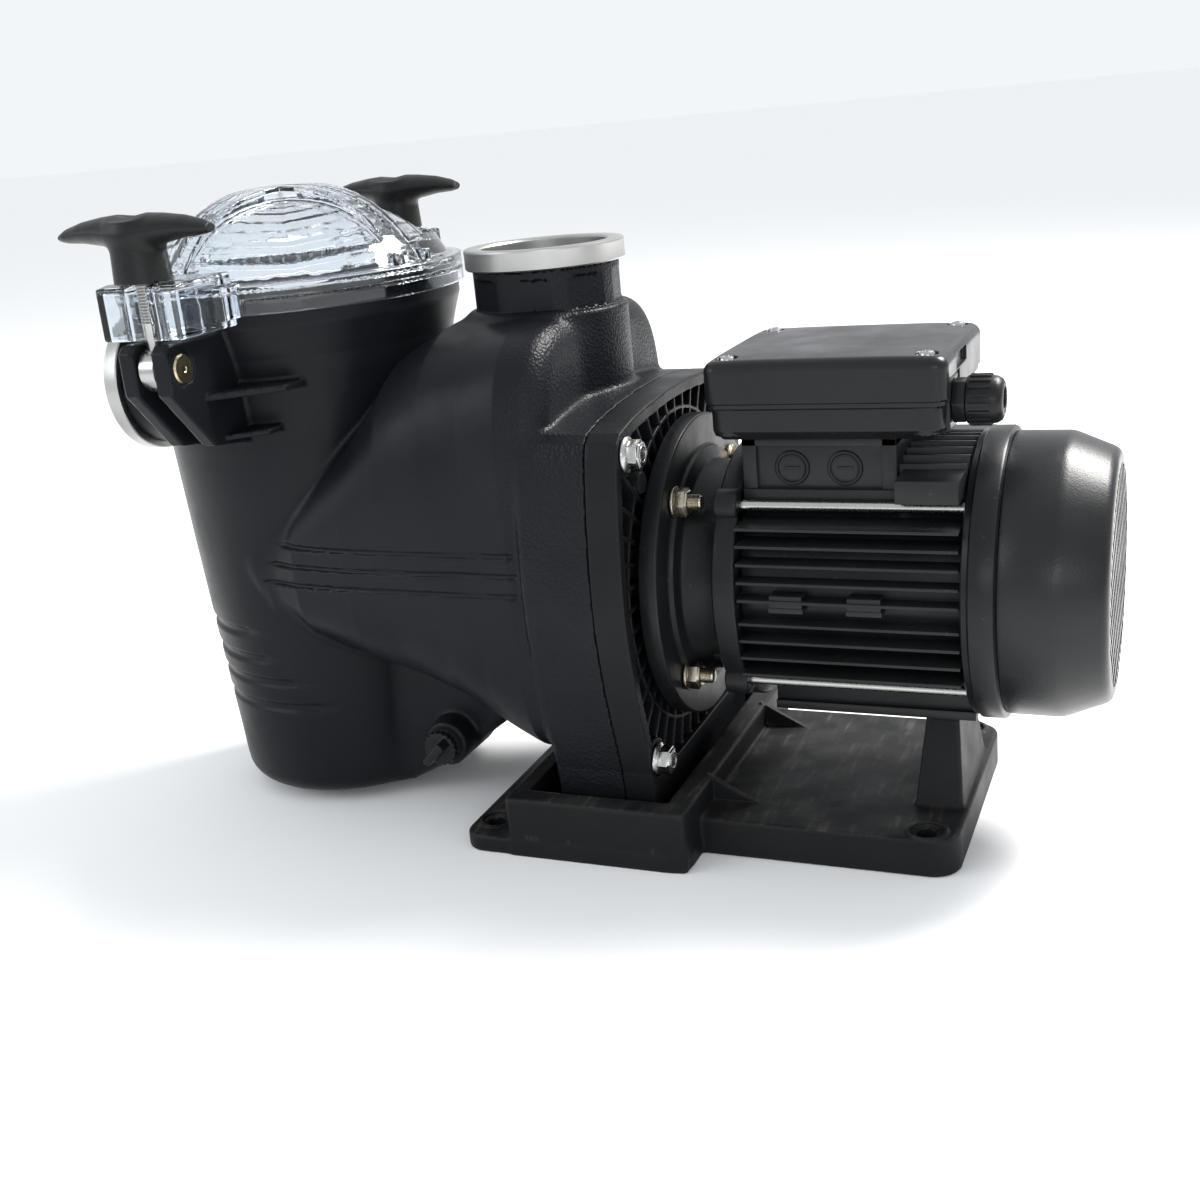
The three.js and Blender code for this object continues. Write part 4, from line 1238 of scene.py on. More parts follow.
@dataclass
class Clamp:
    """One lid clamp: a T-knob on an eye bolt, hung on a brass pin.

    Attributes:
        end: Name of its end.
        side: -1 at the front, 1 at the rear.
        x: X of the bolt.
        y: Distance of the bolt from the middle.
        pivot: Height of the hinge pin.
        span: Half span of the T.
    """

    end: str
    side: float
    x: float = -234.5
    y: float = 125.3
    pivot: float = 132.3
    span: float = 44.0

    def knob(self, x: Array, y: Array, z: Array) -> Array:
        """Distance to the T-knob."""
        dx, dy = x - self.x, y - self.side * self.y
        reach = np.hypot(dx, dy)
        away = np.abs(dx)
        barrel = rounded_meet(1.0, reach - table(z, (174.9, 198.0), (14.1, 13.0)), span(z, 174.9, 204.0))
        at = (0, 9, 18, 30, 40, 44)
        width = table(away, at, (13.2, 12.6, 10.6, 8.4, 6.2, 4.2))
        middle = table(away, at, (198.2, 198.8, 199.8, 200.0, 199.0, 198.4))
        half = table(away, at, (9.2, 8.6, 7.0, 5.2, 3.6, 2.2))
        roof = ((np.abs(dy) / width) ** 1.7 + (np.abs(z - middle) / half) ** 1.7 + 1e-6) ** (1.0 / 1.7)
        wings = np.maximum((roof - 1.0) * half, away - self.span)
        dimple = np.hypot(reach, z - 221.5) - 16.0
        knob = carve(1.0, blend(3.5, barrel, wings), dimple)
        knob = np.maximum(knob, z - 207.6)
        socket = np.maximum(reach - 8.2, span(z, 170.0, 199.4))
        return np.maximum(knob, -socket)

    def eye_bolt(self) -> Shell:
        """The eye, its shank and the thread."""
        at = (self.x, self.side * self.y)
        shell = Shell()
        eye = [(7.9, -4.9), (10.2, -4.9), (11, -4.2), (11, 4.2), (10.2, 4.9), (7.9, 4.9)]
        shell.lathe(Axis.X, [(r, self.x + h) for r, h in eye], (self.side * self.y, self.pivot), 48)
        foot, crest = self.pivot + 9.6, 155.0
        thread = [(0.0, foot), (4.6, foot), (4.6, crest)]
        while crest < 196.0:
            thread += [(4.8, crest + 0.5), (4.3, crest + 1.0), (4.8, crest + 1.5)]
            crest += 1.5
        thread += [(4.2, 197.6), (3.6, 198.0), (0.0, 198.0)]
        return shell.lathe(Axis.Z, thread, at, 32)

    def pin(self) -> Shell:
        """The hinge pin with its turned ends."""
        half, r = 14.9, 7.5
        ends = [(0.0, half - 0.35), (1.3, half - 0.35), (1.7, half), (r - 0.8, half), (r, half - 0.8)]
        profile = [(a, -h) for a, h in ends] + [(a, h) for a, h in reversed(ends)]
        return Shell().lathe(
            Axis.X, [(a, self.x + h) for a, h in profile], (self.side * self.y, self.pivot), 64,
        )

    def build(self) -> None:
        """Makes the knob, the eye bolt and the pin."""
        low = (self.x - 45.5, self.side * self.y - 15.5, 173.0)
        high = (self.x + 45.5, self.side * self.y + 15.5, 210.0)
        node = f"knob_{self.end}"
        Part(f"clamp_knob_{self.end}", Slot.KNOB, KNOB_BLACK, node, (node,)).skinned(
            Skin(self.knob, low, high, 0.9),
        )
        Part(
            f"clamp_eye_bolt_{self.end}", Slot.BOLT, BOLT_STEEL, f"clamp_{self.end}",
            (f"eye_bolt_{self.end}",),
        ).shaped(self.eye_bolt(), bevel=0.0)
        turned = Metal(
            f"pin brass {self.end}", (0.50, 0.42, 0.28), 0.25, Axis.X,
            (0.0, self.side * self.y, self.pivot), 3600.0, (0.36, 0.26, 0.13),
        )
        Part(f"hinge_pin_{self.end}", Slot.BRASS, turned, nodes=(f"clamp_pin_{self.end}",)).shaped(
            self.pin(), bevel=0.0,
        )


# ---------------------------------------------------------------- bracket and fasteners


@dataclass
class Bracket:
    """The bracket between the pump and the motor, ribbed at the back.

    Attributes:
        front: X of the face on the body flange.
        rear: X of the face on the motor.
        ribs: How many radial ribs its back has.
    """

    front: float = -26.7
    rear: float = -10.0
    ribs: int = 44

    def shape(self, x: Array, y: Array, z: Array) -> Array:
        """Distance to the bracket."""
        edge = outline(y, z, mirrored(FLANGE_HALF))
        plate = rounded_meet(1.0, edge, span(x, self.front, self.rear))
        reach = np.hypot(y, z)
        pitch = 2.0 * math.pi / self.ribs
        turn = np.arctan2(z, y) / pitch
        rib = reach * np.abs(np.sin((turn - np.round(turn)) * pitch)) - 1.15
        hoop = np.abs(reach - 83.0) - 1.0
        bosses = [np.hypot(y - by, z - bz) - 11.0 for by, bz in FLANGE_BOLTS]
        posts = [np.hypot(y - side * 60.0, z - 59.5) - 5.5 for side in (-1.0, 1.0)]
        kept = reduce(np.minimum, [*bosses, *posts])
        fins = np.maximum(np.minimum(rib, hoop), x - self.rear + 2.6)
        pocket = rounded_meet(1.2, edge + 6.5, 62.5 - reach, self.rear - 11.0 - x, -94.0 - z)
        pocket = carve(0.5, pocket, np.minimum(kept, fins))
        body = np.maximum(plate, -pocket)
        spigot = np.maximum(reach - 69.5, span(x, self.front - 9.0, self.front + 1.0))
        groove = np.maximum(span(reach, 66.0, 72.0), span(x, self.front - 6.5, self.front - 3.0))
        body = np.minimum(body, np.maximum(spigot, -groove))
        holes = [
            np.maximum(reach - 55.5, self.rear - 4.0 - x), np.maximum(reach - 22.0, self.front - x),
            np.maximum(reach - 16.4, x - self.front - 1.0),
        ]
        for by, bz in FLANGE_BOLTS:
            holes.append(np.hypot(y - by, z - bz) - 4.4)
        for by, bz in STUD_PLACES:
            holes.append(np.maximum(np.hypot(y - by, z - bz) - 4.4, -22.0 - x))
        return np.maximum(body, -reduce(np.minimum, holes))

    def build(self) -> None:
        """Makes the bracket."""
        Part("motor_bracket", Slot.BODY, BRACKET_BLACK, nodes=("bracket",)).skinned(
            Skin(self.shape, (-38.0, -101.0, -124.5), (-8.0, 101.0, 99.5), 1.15),
        )


@dataclass
class Fasteners:
    """The flange bolts, and the motor's studs with washers and nuts.

    Attributes:
        seat: X of the bolts' seat.
    """

    seat: float = -9.7

    def hexagon(self, flats: float, centre: Pair, turn: float) -> list[Pair]:
        """A hexagon of a size across its flats."""
        return ring_of(6, flats / math.sqrt(3.0), centre, turn)

    def head(self, shell: Shell, start: float, length: float, centre: Pair, turn: float) -> None:
        """Adds a hexagon with its corners turned off at the outer end."""
        shell.prism(Axis.X, self.hexagon(13.0, centre, turn), start, start + length - 1.0)
        end = start + length
        profile = [(0.0, end - 1.3), (6.9, end - 1.3), (6.0, end), (0.0, end)]
        shell.lathe(Axis.X, profile, centre, 6)

    def bolt(self, centre: Pair, turn: float) -> Shell:
        """A flange bolt."""
        s = self.seat
        shank = ((0, -56), (3.6, -56), (3.9, -55.4), (3.9, s + 1), (0, s + 1))
        shell = Shell().lathe(Axis.X, shank, centre, 24)
        skirt = ((0, s), (8.7, s), (9, s + 0.5), (8.8, s + 1.3), (6.9, s + 2.6), (0, s + 2.6))
        shell.lathe(Axis.X, skirt, centre, 48)
        self.head(shell, s + 2.0, 6.6, centre, turn)
        crown = ((0, s + 8.0), (4.9, s + 8.0), (4.6, s + 8.9), (3.4, s + 8.9), (3.0, s + 8.3), (0, s + 8.2))
        return shell.lathe(Axis.X, crown, centre, 36)

    def stud(self, centre: Pair, turn: float) -> Shell:
        """A stud with its washer, nut and threaded end."""
        washer = ((3.6, GAP), (7.6, GAP), (8, 0.6), (8, 1.6), (7.6, 1.9), (3.6, 1.9))
        shell = Shell().lathe(Axis.X, washer, centre, 48)
        self.head(shell, 2.0, 6.5, centre, turn)
        thread: list[Pair] = [(0.0, -20.0), (3.9, -20.0), (3.9, 8.0)]
        at = 8.0
        while at < 13.6:
            thread += [(4.1, at + 0.35), (3.45, at + 0.75)]
            at += 0.85
        thread += [(3.2, 14.9), (0.0, 14.9)]
        return shell.lathe(Axis.X, thread, centre, 28)

    def build(self) -> None:
        """Makes all the bolts and studs."""
        for i, centre in enumerate(FLANGE_BOLTS):
            Part(f"hex_flange_bolt_{i + 1}", Slot.BOLT, BOLT_STEEL, nodes=(f"flange_bolt_{i + 1}",)).shaped(
                self.bolt(centre, 0.3 + 0.4 * i), bevel=0.25,
            )
        for i, centre in enumerate(STUD_PLACES):
            Part(f"stud_and_nut_{i + 1}", Slot.STUD, STUD_ZINC, nodes=(f"motor_stud_{i + 1}",)).shaped(
                self.stud(centre, 0.1 + 0.5 * i), bevel=0.2,
            )


# ---------------------------------------------------------------- motor


TIE_RODS = tuple((y, z) for z in both(45.4) for y in both(47.4))


@dataclass
class Motor:
    """The motor's outside: front flange, finned housing, rear endshield, fan cover and tie rods.

    Attributes:
        start: X of the housing's front.
        end: X of its rear.
        core: Radius of the housing between the fins.
        bore: Radius of its bore.
        fins: Heights of the side fins.
        crests: Y of the top fins.
        fin: Thickness of a fin at its root.
    """

    start: float = 35.3
    end: float = 142.8
    core: float = 57.0
    bore: float = 50.3
    fins: tuple[float, ...] = (-37, -28, -19, -10, 2, 11, 20, 29, 37.5)
    crests: tuple[float, ...] = (-36, -27, -18, -9, 0, 9, 18, 27, 36)
    fin: float = 2.5

    def front_flange(self) -> None:
        """Makes the flange, its hub, its ring and the four lugs."""
        profile = (
            (10, -13.3), (54.6, -13.3), (55, -12.9), (55, -9.7), (79.2, -9.7), (80, -9), (80, -1),
            (79.2, -0.2),
            (64, -0.2), (63, 0.6), (62.5, 2.4), (57.5, 3.2), (56, 4.6), (55.2, 12), (55, 20), (56, 22.6),
            (58, 23.5), (66.6, 23.5), (67.5, 24.4), (67.5, 34.2), (66.8, 35), (52, 35), (50, 21), (48, 19),
            (17.8, 19), (17.8, 5), (10, 5),
        )
        shell = Shell().lathe(Axis.X, profile, count=128)
        for centre in TIE_RODS:
            lug = ((3, 23.2), (7.4, 23.2), (8, 23.9), (8, 34.4), (7.4, 35), (3, 35))
            shell.lathe(Axis.X, lug, centre, 40)
            reach = math.hypot(*centre)
            inward = (centre[0] * 50.5 / reach, centre[1] * 50.5 / reach)
            shell.lathe(Axis.X, ((0, 12), (4, 12), (5.5, 14), (6.5, 23.6), (0, 23.6)), inward, 24)
        Part("motor_front_flange", Slot.MOTOR, CAST_BLACK, nodes=("motor_flange",)).shaped(shell, bevel=0.3)

    def fin_bar(
        self, shell: Shell, place: float, root: float, tip: float, side: float, upright: bool,
    ) -> None:
        """Adds one fin that thins from root to tip.

        Args:
            shell: The housing.
            place: Middle of its thickness.
            root: Where it starts inside the core.
            tip: How far it reaches.
            side: -1 or 1, the side it grows to.
            upright: True for a fin that grows up.
        """
        thick, thin = self.fin / 2.0, self.fin / 2.0 - 0.45
        corners = [(root, place - thick), (tip, place - thin), (tip, place + thin), (root, place + thick)]
        if upright:
            outline_yz = [(b, a) for a, b in corners]
        else:
            outline_yz = [(side * a, b) for a, b in corners]
        shell.prism(Axis.X, outline_yz, self.start + 0.6, self.end - 0.6)

    def housing(self) -> None:
        """Makes the finned housing with the terminal box's neck."""
        s, e = self.start, self.end
        tube = (
            (self.bore, s), (56.4, s), (self.core, s + 0.6), (self.core, e - 0.6), (56.4, e),
            (self.bore, e),
        )
        shell = Shell().lathe(Axis.X, tube, count=96)
        for side in (-1.0, 1.0):
            for z in self.fins:
                self.fin_bar(shell, z, 28.0, 66.0 - z * z / 620.0, side, False)
            lip, tab = sorted((side * 50, side * 65.4)), sorted((side * 50, side * 65.0))
            for x in (60.0, 98.0):
                shell.bar((x - 8.5, lip[0], -3.6), (x + 8.5, lip[1], -1.0))
                shell.bar((x - 8.0, tab[0], -3.0), (x + 8.0, tab[1], 5.0))
            pad = sorted((side * 30.0, side * 60.0))
            shell.bar((113.0, pad[0], 50.0), (142.0, pad[1], 61.0))
        for y in self.crests:
            self.fin_bar(shell, y, 28.0, 68.5 - y * y / 260.0, 1.0, True)
        for y in (-20.0, 0.0, 20.0):
            web = ((y - 1.4, -69), (y + 1.4, -69), (y + 1.4, -40), (y - 1.4, -40))
            shell.prism(Axis.X, web, s + 5, e - 1)
        shell.bar((s + 5.0, -24.0, -71.0), (e, 24.0, -66.5))
        neck = (
            ((36, -44, 42), (111, 44, 52.5)), ((36, -42.8, 50), (43, 42.8, 77)),
            ((104, -42.8, 50), (111, 42.8, 77)), ((36, -42.8, 73.5), (111, -22, 77)),
            ((36, 22, 73.5), (111, 42.8, 77)), ((40, -41.2, 50), (106, -22, 75)),
            ((40, 22, 50), (106, 41.2, 75)),
        )
        for low, high in neck:
            shell.bar(low, high)
        for side in (-1.0, 1.0):
            for x in (60.3, 86.1):
                face = side * 41.0
                plug = (
                    (0, 0), (5.6, 0), (5.9, 0.5), (6.6, 0.5), (7.0, 1.3), (8.2, 1.3), (8.6, 0.6),
                    (8.8, -1.0), (0, -1.0),
                )
                shell.lathe(Axis.Y, [(r, face + side * h) for r, h in plug], (62.6, x), 48)
                slot_low = (x - 3.8, min(face, face + side * 0.9), 61.9)
                shell.bar(slot_low, (x + 3.8, max(face, face + side * 0.9), 63.3))
        Part("finned_housing", Slot.MOTOR, MOTOR_BLACK, nodes=("motor_housing",)).shaped(shell, bevel=0.35)

    def rear_endshield(self) -> None:
        """Makes the ring behind the housing."""
        profile = (
            (7.3, 159.1), (7.3, 156.1), (17.8, 156.1), (17.8, 144.6), (21, 144.6), (21, 151.1), (62, 151.1),
            (62, 143.1), (69.4, 143.1), (70.4, 143.8), (71.0, 146.2), (72.2, 147.2), (72.3, 149),
            (72.3, 157.2),
            (71.8, 158.2), (70.6, 158.6), (69.7, 159.1),
        )
        Part("rear_endshield_casting", Slot.MOTOR, MOTOR_BLACK, nodes=("rear_endshield",)).shaped(
            Shell().lathe(Axis.X, profile, count=128), bevel=0.0,
        )

    def fan_cover(self) -> None:
        """Makes the fan cover with its crossed grille."""
        wall = (
            (67.2, 159.4), (69.4, 159.4), (69.7, 159.9), (69.7, 183.4), (69.4, 185.4), (68.8, 187.2),
            (62.2, 203.2), (61.2, 205.0), (59.6, 206.4), (57.4, 207.1), (54.0, 207.2), (53.6, 206.4),
            (53.6, 204.7), (57.5, 204.6), (59.0, 203.6), (66.6, 185.6), (67.2, 183.0),
        )
        shell = Shell().lathe(Axis.X, wall, count=128)
        half, reach = 1.05, 54.4
        for turn, low, high in ((math.radians(45.0), 204.8, 206.2), (math.radians(-45.0), 205.6, 207.0)):
            for k in range(-9, 10):
                off = k * 5.6
                length = math.sqrt(max(reach * reach - (abs(off) + half) ** 2, 4.0))
                slat = (
                    (-length, off - half), (length, off - half), (length, off + half),
                    (-length, off + half),
                )
                corners = [
                    (a * math.cos(turn) - b * math.sin(turn), a * math.sin(turn) + b * math.cos(turn))
                    for a, b in slat
                ]
                shell.prism(Axis.X, corners, low, high)
        Part("fan_cover_and_grille", Slot.COVER, COVER_BLACK, nodes=("fan_cover",)).shaped(shell, bevel=0.0)

    def tie_rods(self) -> None:
        """Makes the four tie rods."""
        for i, centre in enumerate(TIE_RODS):
            rod = ((0, 24.5), (2.3, 24.5), (2.6, 24.9), (2.6, 149.6), (2.3, 150), (0, 150))
            Part(f"bright_tie_rod_{i + 1}", Slot.BOLT, BOLT_STEEL, nodes=(f"tie_rod_{i + 1}",)).shaped(
                Shell().lathe(Axis.X, rod, centre, 32), bevel=0.0,
            )

    def build(self) -> None:
        """Makes the motor's outside."""
        self.front_flange()
        self.housing()
        self.rear_endshield()
        self.fan_cover()
        self.tie_rods()


# ---------------------------------------------------------------- terminal box and gland


@dataclass
class TerminalBox:
    """The terminal box, its lid and screws, and the cable gland.

    Attributes:
        x: Middle of the box.
        half_length: Half length of the lid.
        half_width: Half width of the lid.
        screws: Where the screws are from the middle.
        gland: Y and height of the gland.
    """

    x: float = 78.3
    half_length: float = 58.0
    half_width: float = 52.0
    screws: Pair = (47.5, 41.5)
    gland: Pair = (-30.0, 92.3)

    def corner(self, x: Array, y: Array) -> Array:
        """Distance from the nearest screw's axis."""
        return np.hypot(np.abs(x - self.x) - self.screws[0], np.abs(y) - self.screws[1])

    def lid(self, x: Array, y: Array, z: Array) -> Array:
        """Distance to the lid."""
        across = rounded_meet(7.0, np.abs(x - self.x) - self.half_length, np.abs(y) - self.half_width)
        crown = z - 117.0 + 0.9 * ((x - self.x) / 58.0) ** 4 + 0.9 * (y / 52.0) ** 4
        lid = np.maximum(rounded_meet(5.0, across, crown), 93.0 - z)
        step = rounded_meet(0.5, span(z, 91.0, 95.6), -across - 1.0)
        lid = np.maximum(lid, -np.maximum(step, -across - 1.2))
        room = rounded_meet(3.0, across + 3.0, z - 114.0)
        posts = self.corner(x, y) - 4.8
        lid = np.maximum(lid, -np.maximum(room, -posts))
        lid = carve(0.6, lid, np.maximum(self.corner(x, y) - 5.2, 114.9 - z))
        lid = np.maximum(lid, -(self.corner(x, y) - 2.3))
        end = self.x + self.half_length
        beside = span(y, self.gland[0] - 12.4, self.gland[0] + 12.4)
        notch = np.maximum(span(x, end - 9.0, end + 2.0), beside)
        lid = np.maximum(lid, -np.maximum(notch, z - 104.4))
        window = rounded_meet(
            1.0, span(x, end - 2.2, end + 2.0), span(y, -26.0, 2.0), span(z, 105.6, 112.4),
        )
        return np.maximum(lid, -window)

    def tray(self, x: Array, y: Array, z: Array) -> Array:
        """Distance to the tray under the lid, with its corner bosses."""
        across = rounded_meet(
            6.0, np.abs(x - self.x) - self.half_length + 2.5, np.abs(y) - self.half_width + 2.5,
        )
        tray = np.maximum(rounded_meet(4.0, across, 77.3 - z), z - 92.7)
        tray = np.maximum(tray, (across + 77.3 + 4.5 - z) * 0.7)
        bosses = np.maximum(self.corner(x, y) - 8.0, span(z, 79.5, 92.7))
        tray = blend(1.0, tray, np.maximum(bosses, across - 0.6))
        room = rounded_meet(2.0, across + 3.2, 80.5 - z)
        posts = self.corner(x, y) - 4.6
        tray = np.maximum(tray, -np.maximum(room, -posts))
        end = self.x + self.half_length
        gland_y, gland_z = self.gland
        wall = rounded_meet(
            1.0, span(x, end - 8.0, end - 0.6), span(y, gland_y - 12.0, gland_y + 12.0), span(z, 79.3, 104.0),
        )
        tray = np.minimum(tray, wall)
        bore = np.maximum(np.hypot(y - gland_y, z - gland_z) - 8.2, span(x, end - 12.0, end + 1.0))
        throat = np.maximum(np.maximum(np.abs(x - 75.0) - 13.0, np.abs(y) - 16.0), z - 82.0)
        holes = np.maximum(self.corner(x, y) - 2.3, 79.3 - z)
        return np.maximum(tray, -np.minimum(np.minimum(bore, throat), holes))

    def screw(self, centre: Pair) -> Shell:
        """A cross-recessed screw with its shank."""
        shell = Shell().lathe(Axis.Z, ((0, 81.3), (1.9, 81.3), (1.9, 115.4), (0, 115.4)), centre, 20)
        dome = ((0, 115.2), (3.8, 115.2), (3.8, 116.0), (3.2, 116.9), (2.2, 117.3), (1.9, 116.6), (0, 116.5))
        shell.lathe(Axis.Z, dome, centre, 40)
        x, y = centre
        shell.bar((x - 1.9, y - 0.35, 116.4), (x + 1.9, y + 0.35, 117.05))
        return shell.bar((x - 0.35, y - 1.9, 116.4), (x + 0.35, y + 1.9, 117.05))

    def gland_body(self) -> Shell:
        """The gland's hexagon and its threaded spout."""
        face = self.x + self.half_length
        shell = Shell()
        spout = (
            (5.5, face - 5), (7.9, face - 5), (7.9, face - 0.3), (7.9, face + 13.4), (7.4, face + 14),
            (5.5, face + 14),
        )
        shell.lathe(Axis.X, spout, self.gland, 48)
        outer = ring_of(6, 19.0 / math.sqrt(3.0), self.gland)
        inner = ring_of(6, 7.0, self.gland)
        points = [(x, *p) for x in (face - 0.3, face + 5.5) for p in (*outer, *inner)]
        faces = []
        for i in range(6):
            j = (i + 1) % 6
            faces += [
                [i, j, 12 + j, 12 + i], [6 + i, 18 + i, 18 + j, 6 + j], [i, 6 + i, 6 + j, j],
                [12 + i, 12 + j, 18 + j, 18 + i],
            ]
        return shell.add(points, faces)

    def gland_nut(self) -> Shell:
        """The gland's ribbed, domed nut."""
        seat = self.x + self.half_length + 5.5 + GAP
        profile = (
            (8.2, seat), (10.9, seat), (11.2, seat + 0.6), (11.2, seat + 10.6), (10.8, seat + 13.4),
            (9.6, seat + 15.4), (7.8, seat + 16.4), (6.2, seat + 16.5), (5.6, seat + 15.9),
            (5.6, seat + 14.5), (8.2, seat + 14.5),
        )
        shell = Shell().lathe(Axis.X, profile, self.gland, 72)
        for i in range(18):
            angle = 2.0 * math.pi * i / 18
            wing = 0.07
            corners = [
                (self.gland[0] + r * math.cos(angle + a), self.gland[1] + r * math.sin(angle + a))
                for r, a in ((10.6, -wing), (12.0, -wing * 0.7), (12.0, wing * 0.7), (10.6, wing))
            ]
            shell.prism(Axis.X, corners, seat + 1.2, seat + 11.0)
        return shell

    def build(self) -> None:
        """Makes the box, its lid, the screws and the gland."""
        x0, x1 = self.x - self.half_length - 1.5, self.x + self.half_length + 1.5
        y0, y1 = both(self.half_width + 1.5)
        Part("terminal_box_cover", Slot.BOX, BOX_BLACK, nodes=("terminal_box_lid",)).skinned(
            Skin(self.lid, (x0, y0, 91.5), (x1, y1, 118.5), 1.0),
        )
        Part("terminal_box_tray", Slot.BOX, BOX_BLACK, nodes=("terminal_box",)).skinned(
            Skin(self.tray, (x0, y0, 75.5), (x1, y1, 105.5), 1.1),
        )
        places = [(self.x + i * self.screws[0], j * self.screws[1]) for i in (-1, 1) for j in (-1, 1)]
        for i, centre in enumerate(places):
            Part(f"cross_screw_{i + 1}", Slot.BOLT, BOLT_STEEL, nodes=(f"box_screw_{i + 1}",)).shaped(
                self.screw(centre), bevel=0.0,
            )
        Part("gland_body", Slot.BOX, GLAND_BLACK, nodes=("cable_gland",)).shaped(self.gland_body(), bevel=0.3)
        Part("gland_dome_nut", Slot.BOX, GLAND_BLACK, "gland_cap", ("gland_nut",)).shaped(
            self.gland_nut(), bevel=0.2,
        )


# ---------------------------------------------------------------- foot


@dataclass
class Foot:
    """The moulded foot: front pads, trough, rear plate, motor post and gussets.

    Attributes:
        pad_top: Top of the front pads.
        block_top: Top of the trough's walls.
        plate_top: Top of the rear plate.
        post_top: Top of the motor post.
        holes: X and distance from the middle of each pair of screw holes.
    """

    pad_top: float = -124.7
    block_top: float = -101.0
    plate_top: float = -113.8
    post_top: float = -71.3
    holes: tuple[Pair, ...] = ((-104.0, 77.5), (124.8, 63.5))

    def front(self, x: Array, y: Array, z: Array) -> Array:
        """Distance to the pads and the block with its trough."""
        side = np.abs(y)
        across = rounded_meet(12.0, span(x, -116.0, 11.0), side - 97.5)
        pads = rounded_meet(1.5, across, span(z, FLOOR_Z, self.pad_top))
        block_side = rounded_meet(3.0, span(x, -88.0, 11.0), side - 97.5)
        front = blend(2.5, pads, rounded_meet(1.5, block_side, span(z, FLOOR_Z, self.block_top)))
        trough = rounded_meet(2.0, span(x, -79.0, -1.0), side - 85.0, self.pad_top - z)
        low = span(z, FLOOR_Z, self.pad_top + 8.0)
        ribs = rounded_meet(0.6, np.abs(np.abs(side - 43.0) - 27.0) - 1.2, low)
        front = np.maximum(front, -trough)
        ribs = np.maximum(ribs, span(x, -80.0, 0.0))
        return np.minimum(front, ribs)

    def shape(self, x: Array, y: Array, z: Array) -> Array:
        """Distance to the foot."""
        side = np.abs(y)
        plate_side = rounded_meet(14.0, span(x, -30.0, 141.0), side - 73.8)
        plate = rounded_meet(1.8, plate_side, span(z, FLOOR_Z, self.plate_top))
        plate = np.maximum(plate, -2.0 - x)
        grow = (self.post_top - z) / (self.post_top - self.plate_top)
        post = rounded_meet(
            1.5, 117.5 - 3.5 * grow - x, x - 134.0 - 4.0 * grow, side - 21.0 - 16.0 * grow,
            span(z, self.plate_top - 2.0, self.post_top),
        )
        body = blend(2.5, plate, post)
        body = blend(2.0, body, self.front(x, y, z))
        gusset = (z - self.plate_top) / 12.8 + (x - 11.0) / 24.0 - 1.0
        gusset = rounded_meet(
            0.5, gusset * 11.0, np.abs(side - 49.5) - 1.6, 8.0 - x, self.plate_top - 1.0 - z,
        )
        body = blend(0.8, body, gusset)
        for hole_x, hole_y in self.holes:
            reach = np.hypot(x - hole_x, side - hole_y)
            top = self.pad_top if hole_x < 0 else self.plate_top
            lip = rounded_meet(0.6, reach - 10.5, span(z, top - 2.0, top + 0.9))
            body = blend(1.0, body, lip)
            body = np.maximum(body, -np.minimum(reach - 5.0, np.maximum(reach - 8.0, top - 0.9 - z)))
        return body

    def build(self) -> None:
        """Makes the foot."""
        Part("moulded_foot", Slot.FOOT, FOOT_BLACK, nodes=("foot",)).skinned(
            Skin(self.shape, (-119.0, -100.5, -136.0), (144.0, 100.5, -69.0), 1.5),
        )


# ---------------------------------------------------------------- inner pieces that keep their CAD shape


KEPT: dict[Slot, tuple[Finish, tuple[str, ...]]] = {
    Slot.RUBBER: (RUBBER_BLACK, ("lid_seal", "body_seal", "drain_plug_seal", "gland_seal")),
    Slot.BRASS: (PIN_BRASS, ("knob_insert_front", "knob_insert_rear")),
    Slot.IMPELLER: (WET_PLASTIC, ("impeller", "diffuser", "fan")),
    Slot.CERAMIC: (CERAMIC, ("seal_seat",)),
    Slot.CARBON: (CARBON, ("seal_rotor",)),
    Slot.CORE: (CORE_STEEL, ("stator_core", "rotor")),
    Slot.COPPER: (COPPER, ("winding_front", "winding_rear")),
    Slot.SHAFT: (SHAFT_STEEL, ("shaft", "bearing_front", "bearing_rear")),
    Slot.RESIN: (RESIN, ("terminal_block",)),
    Slot.CAPACITOR: (CAPACITOR, ("capacitor",)),
}


def dress_kept(nodes: dict[str, bpy.types.Object]) -> None:
    """Gives the pieces that keep their CAD shape their finishes.

    Args:
        nodes: The CAD nodes by name.
    """
    for finish, names in KEPT.values():
        for name in names:
            mesh = nodes[name].data
            mesh.materials.clear()
            mesh.materials.append(finish.material())
            LOG.info("%s: %s", name, finish.name)


# ---------------------------------------------------------------- studio


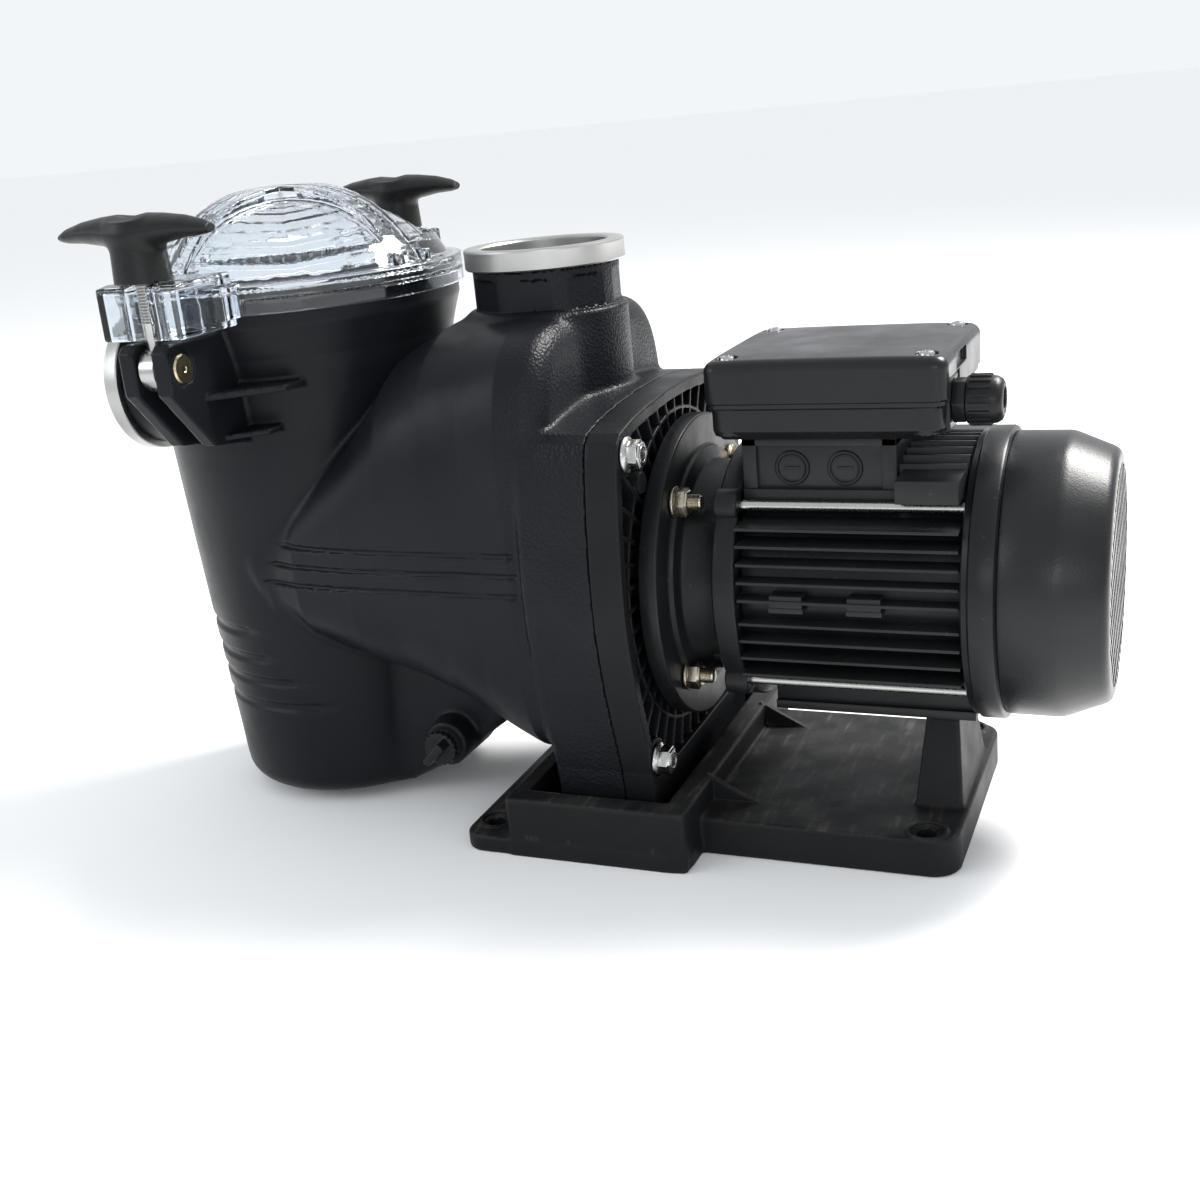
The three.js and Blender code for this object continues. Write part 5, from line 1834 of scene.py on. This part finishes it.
@dataclass
class Studio:
    """Pale floor, soft lights and the camera.

    Attributes:
        eye: Where the camera stands, in the frame's metres.
        yaw: Turn of the camera about the vertical.
        pitch: How far it looks down.
        roll: How far it leans.
        lens: Focal length on a 36 mm sensor.
    """

    eye: Point = (0.32185, -0.71398, 0.36549)
    yaw: float = 0.419
    pitch: float = 0.316
    roll: float = -0.096
    lens: float = 44.35

    def camera(self) -> None:
        """Sets up the camera."""
        data = bpy.data.cameras.new("camera")
        data.lens = self.lens
        data.sensor_width = 36.0
        camera = bpy.data.objects.new("camera", data)
        bpy.context.scene.collection.objects.link(camera)
        ahead = Vector((
            -math.sin(self.yaw) * math.cos(self.pitch), math.cos(self.yaw) * math.cos(self.pitch),
            -math.sin(self.pitch),
        ))
        level = Vector((math.cos(self.yaw), math.sin(self.yaw), 0.0))
        above = level.cross(ahead)
        right = math.cos(self.roll) * level + math.sin(self.roll) * above
        top = -math.sin(self.roll) * level + math.cos(self.roll) * above
        turn = Matrix((right, top, -ahead)).transposed().to_4x4()
        camera.matrix_world = Matrix.Translation(self.eye) @ turn
        bpy.context.scene.camera = camera

    def lamp(self, name: str, place: Point, size: Pair, power: float, colour: Colour) -> None:
        """Hangs a soft box that faces the pump.

        Args:
            name: Its name.
            place: Where it hangs.
            size: Its width and height.
            power: Its power in watts.
            colour: Its colour.
        """
        data = bpy.data.lights.new(name, "AREA")
        data.shape = "RECTANGLE"
        data.size, data.size_y = size
        data.energy = power
        data.color = colour
        lamp = bpy.data.objects.new(name, data)
        bpy.context.scene.collection.objects.link(lamp)
        lamp.location = place
        lamp.rotation_euler = (Vector((0.0, 0.0, 0.17)) - Vector(place)).to_track_quat("-Z", "Y").to_euler()

    def floor(self) -> None:
        """Lays a wide flat floor."""
        reach = 60.0
        corners = [(-reach, -reach, 0.0), (reach, -reach, 0.0), (reach, reach, 0.0), (-reach, reach, 0.0)]
        mesh = bpy.data.meshes.new("floor")
        mesh.from_pydata(corners, [], [[0, 1, 2, 3]])
        mesh.materials.append(FLOOR.material())
        floor = bpy.data.objects.new("floor", mesh)
        bpy.context.scene.collection.objects.link(floor)

    def sky(self) -> None:
        """Fills the room with even pale light."""
        world = bpy.data.worlds.new("room")
        world.use_nodes = True
        back = world.node_tree.nodes["Background"]
        back.inputs["Color"].default_value = (0.94, 0.97, 1.0, 1.0)
        back.inputs["Strength"].default_value = 0.95
        bpy.context.scene.world = world

    def build(self) -> None:
        """Sets up the studio."""
        self.camera()
        self.floor()
        self.sky()
        self.lamp("key", (0.9, 0.9, 1.5), (0.8, 0.6), 70.0, (1.0, 0.98, 0.95))
        self.lamp("fill", (-1.5, -1.2, 1.0), (1.2, 0.8), 10.0, (0.9, 0.95, 1.0))
        self.lamp("front", (0.9, -1.9, 0.7), (1.4, 0.4), 7.0, (0.95, 0.97, 1.0))
        bpy.context.scene.view_settings.view_transform = "Standard"


def main() -> None:
    """Builds the pump's looks round the CAD frame."""
    logging.basicConfig(level=logging.INFO, format="%(message)s")
    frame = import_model()
    dress_kept(frame["nodes"])
    assemblies = [
        PumpBody(), Ports(), DrainPlug(), Lid(), Basket(), Clamp("front", -1.0), Clamp("rear", 1.0),
        Bracket(), Fasteners(), Motor(), TerminalBox(), Foot(), Studio(),
    ]
    for assembly in assemblies:
        assembly.build()
        LOG.info("%s done", type(assembly).__name__)


if __name__ == "__main__":
    main()
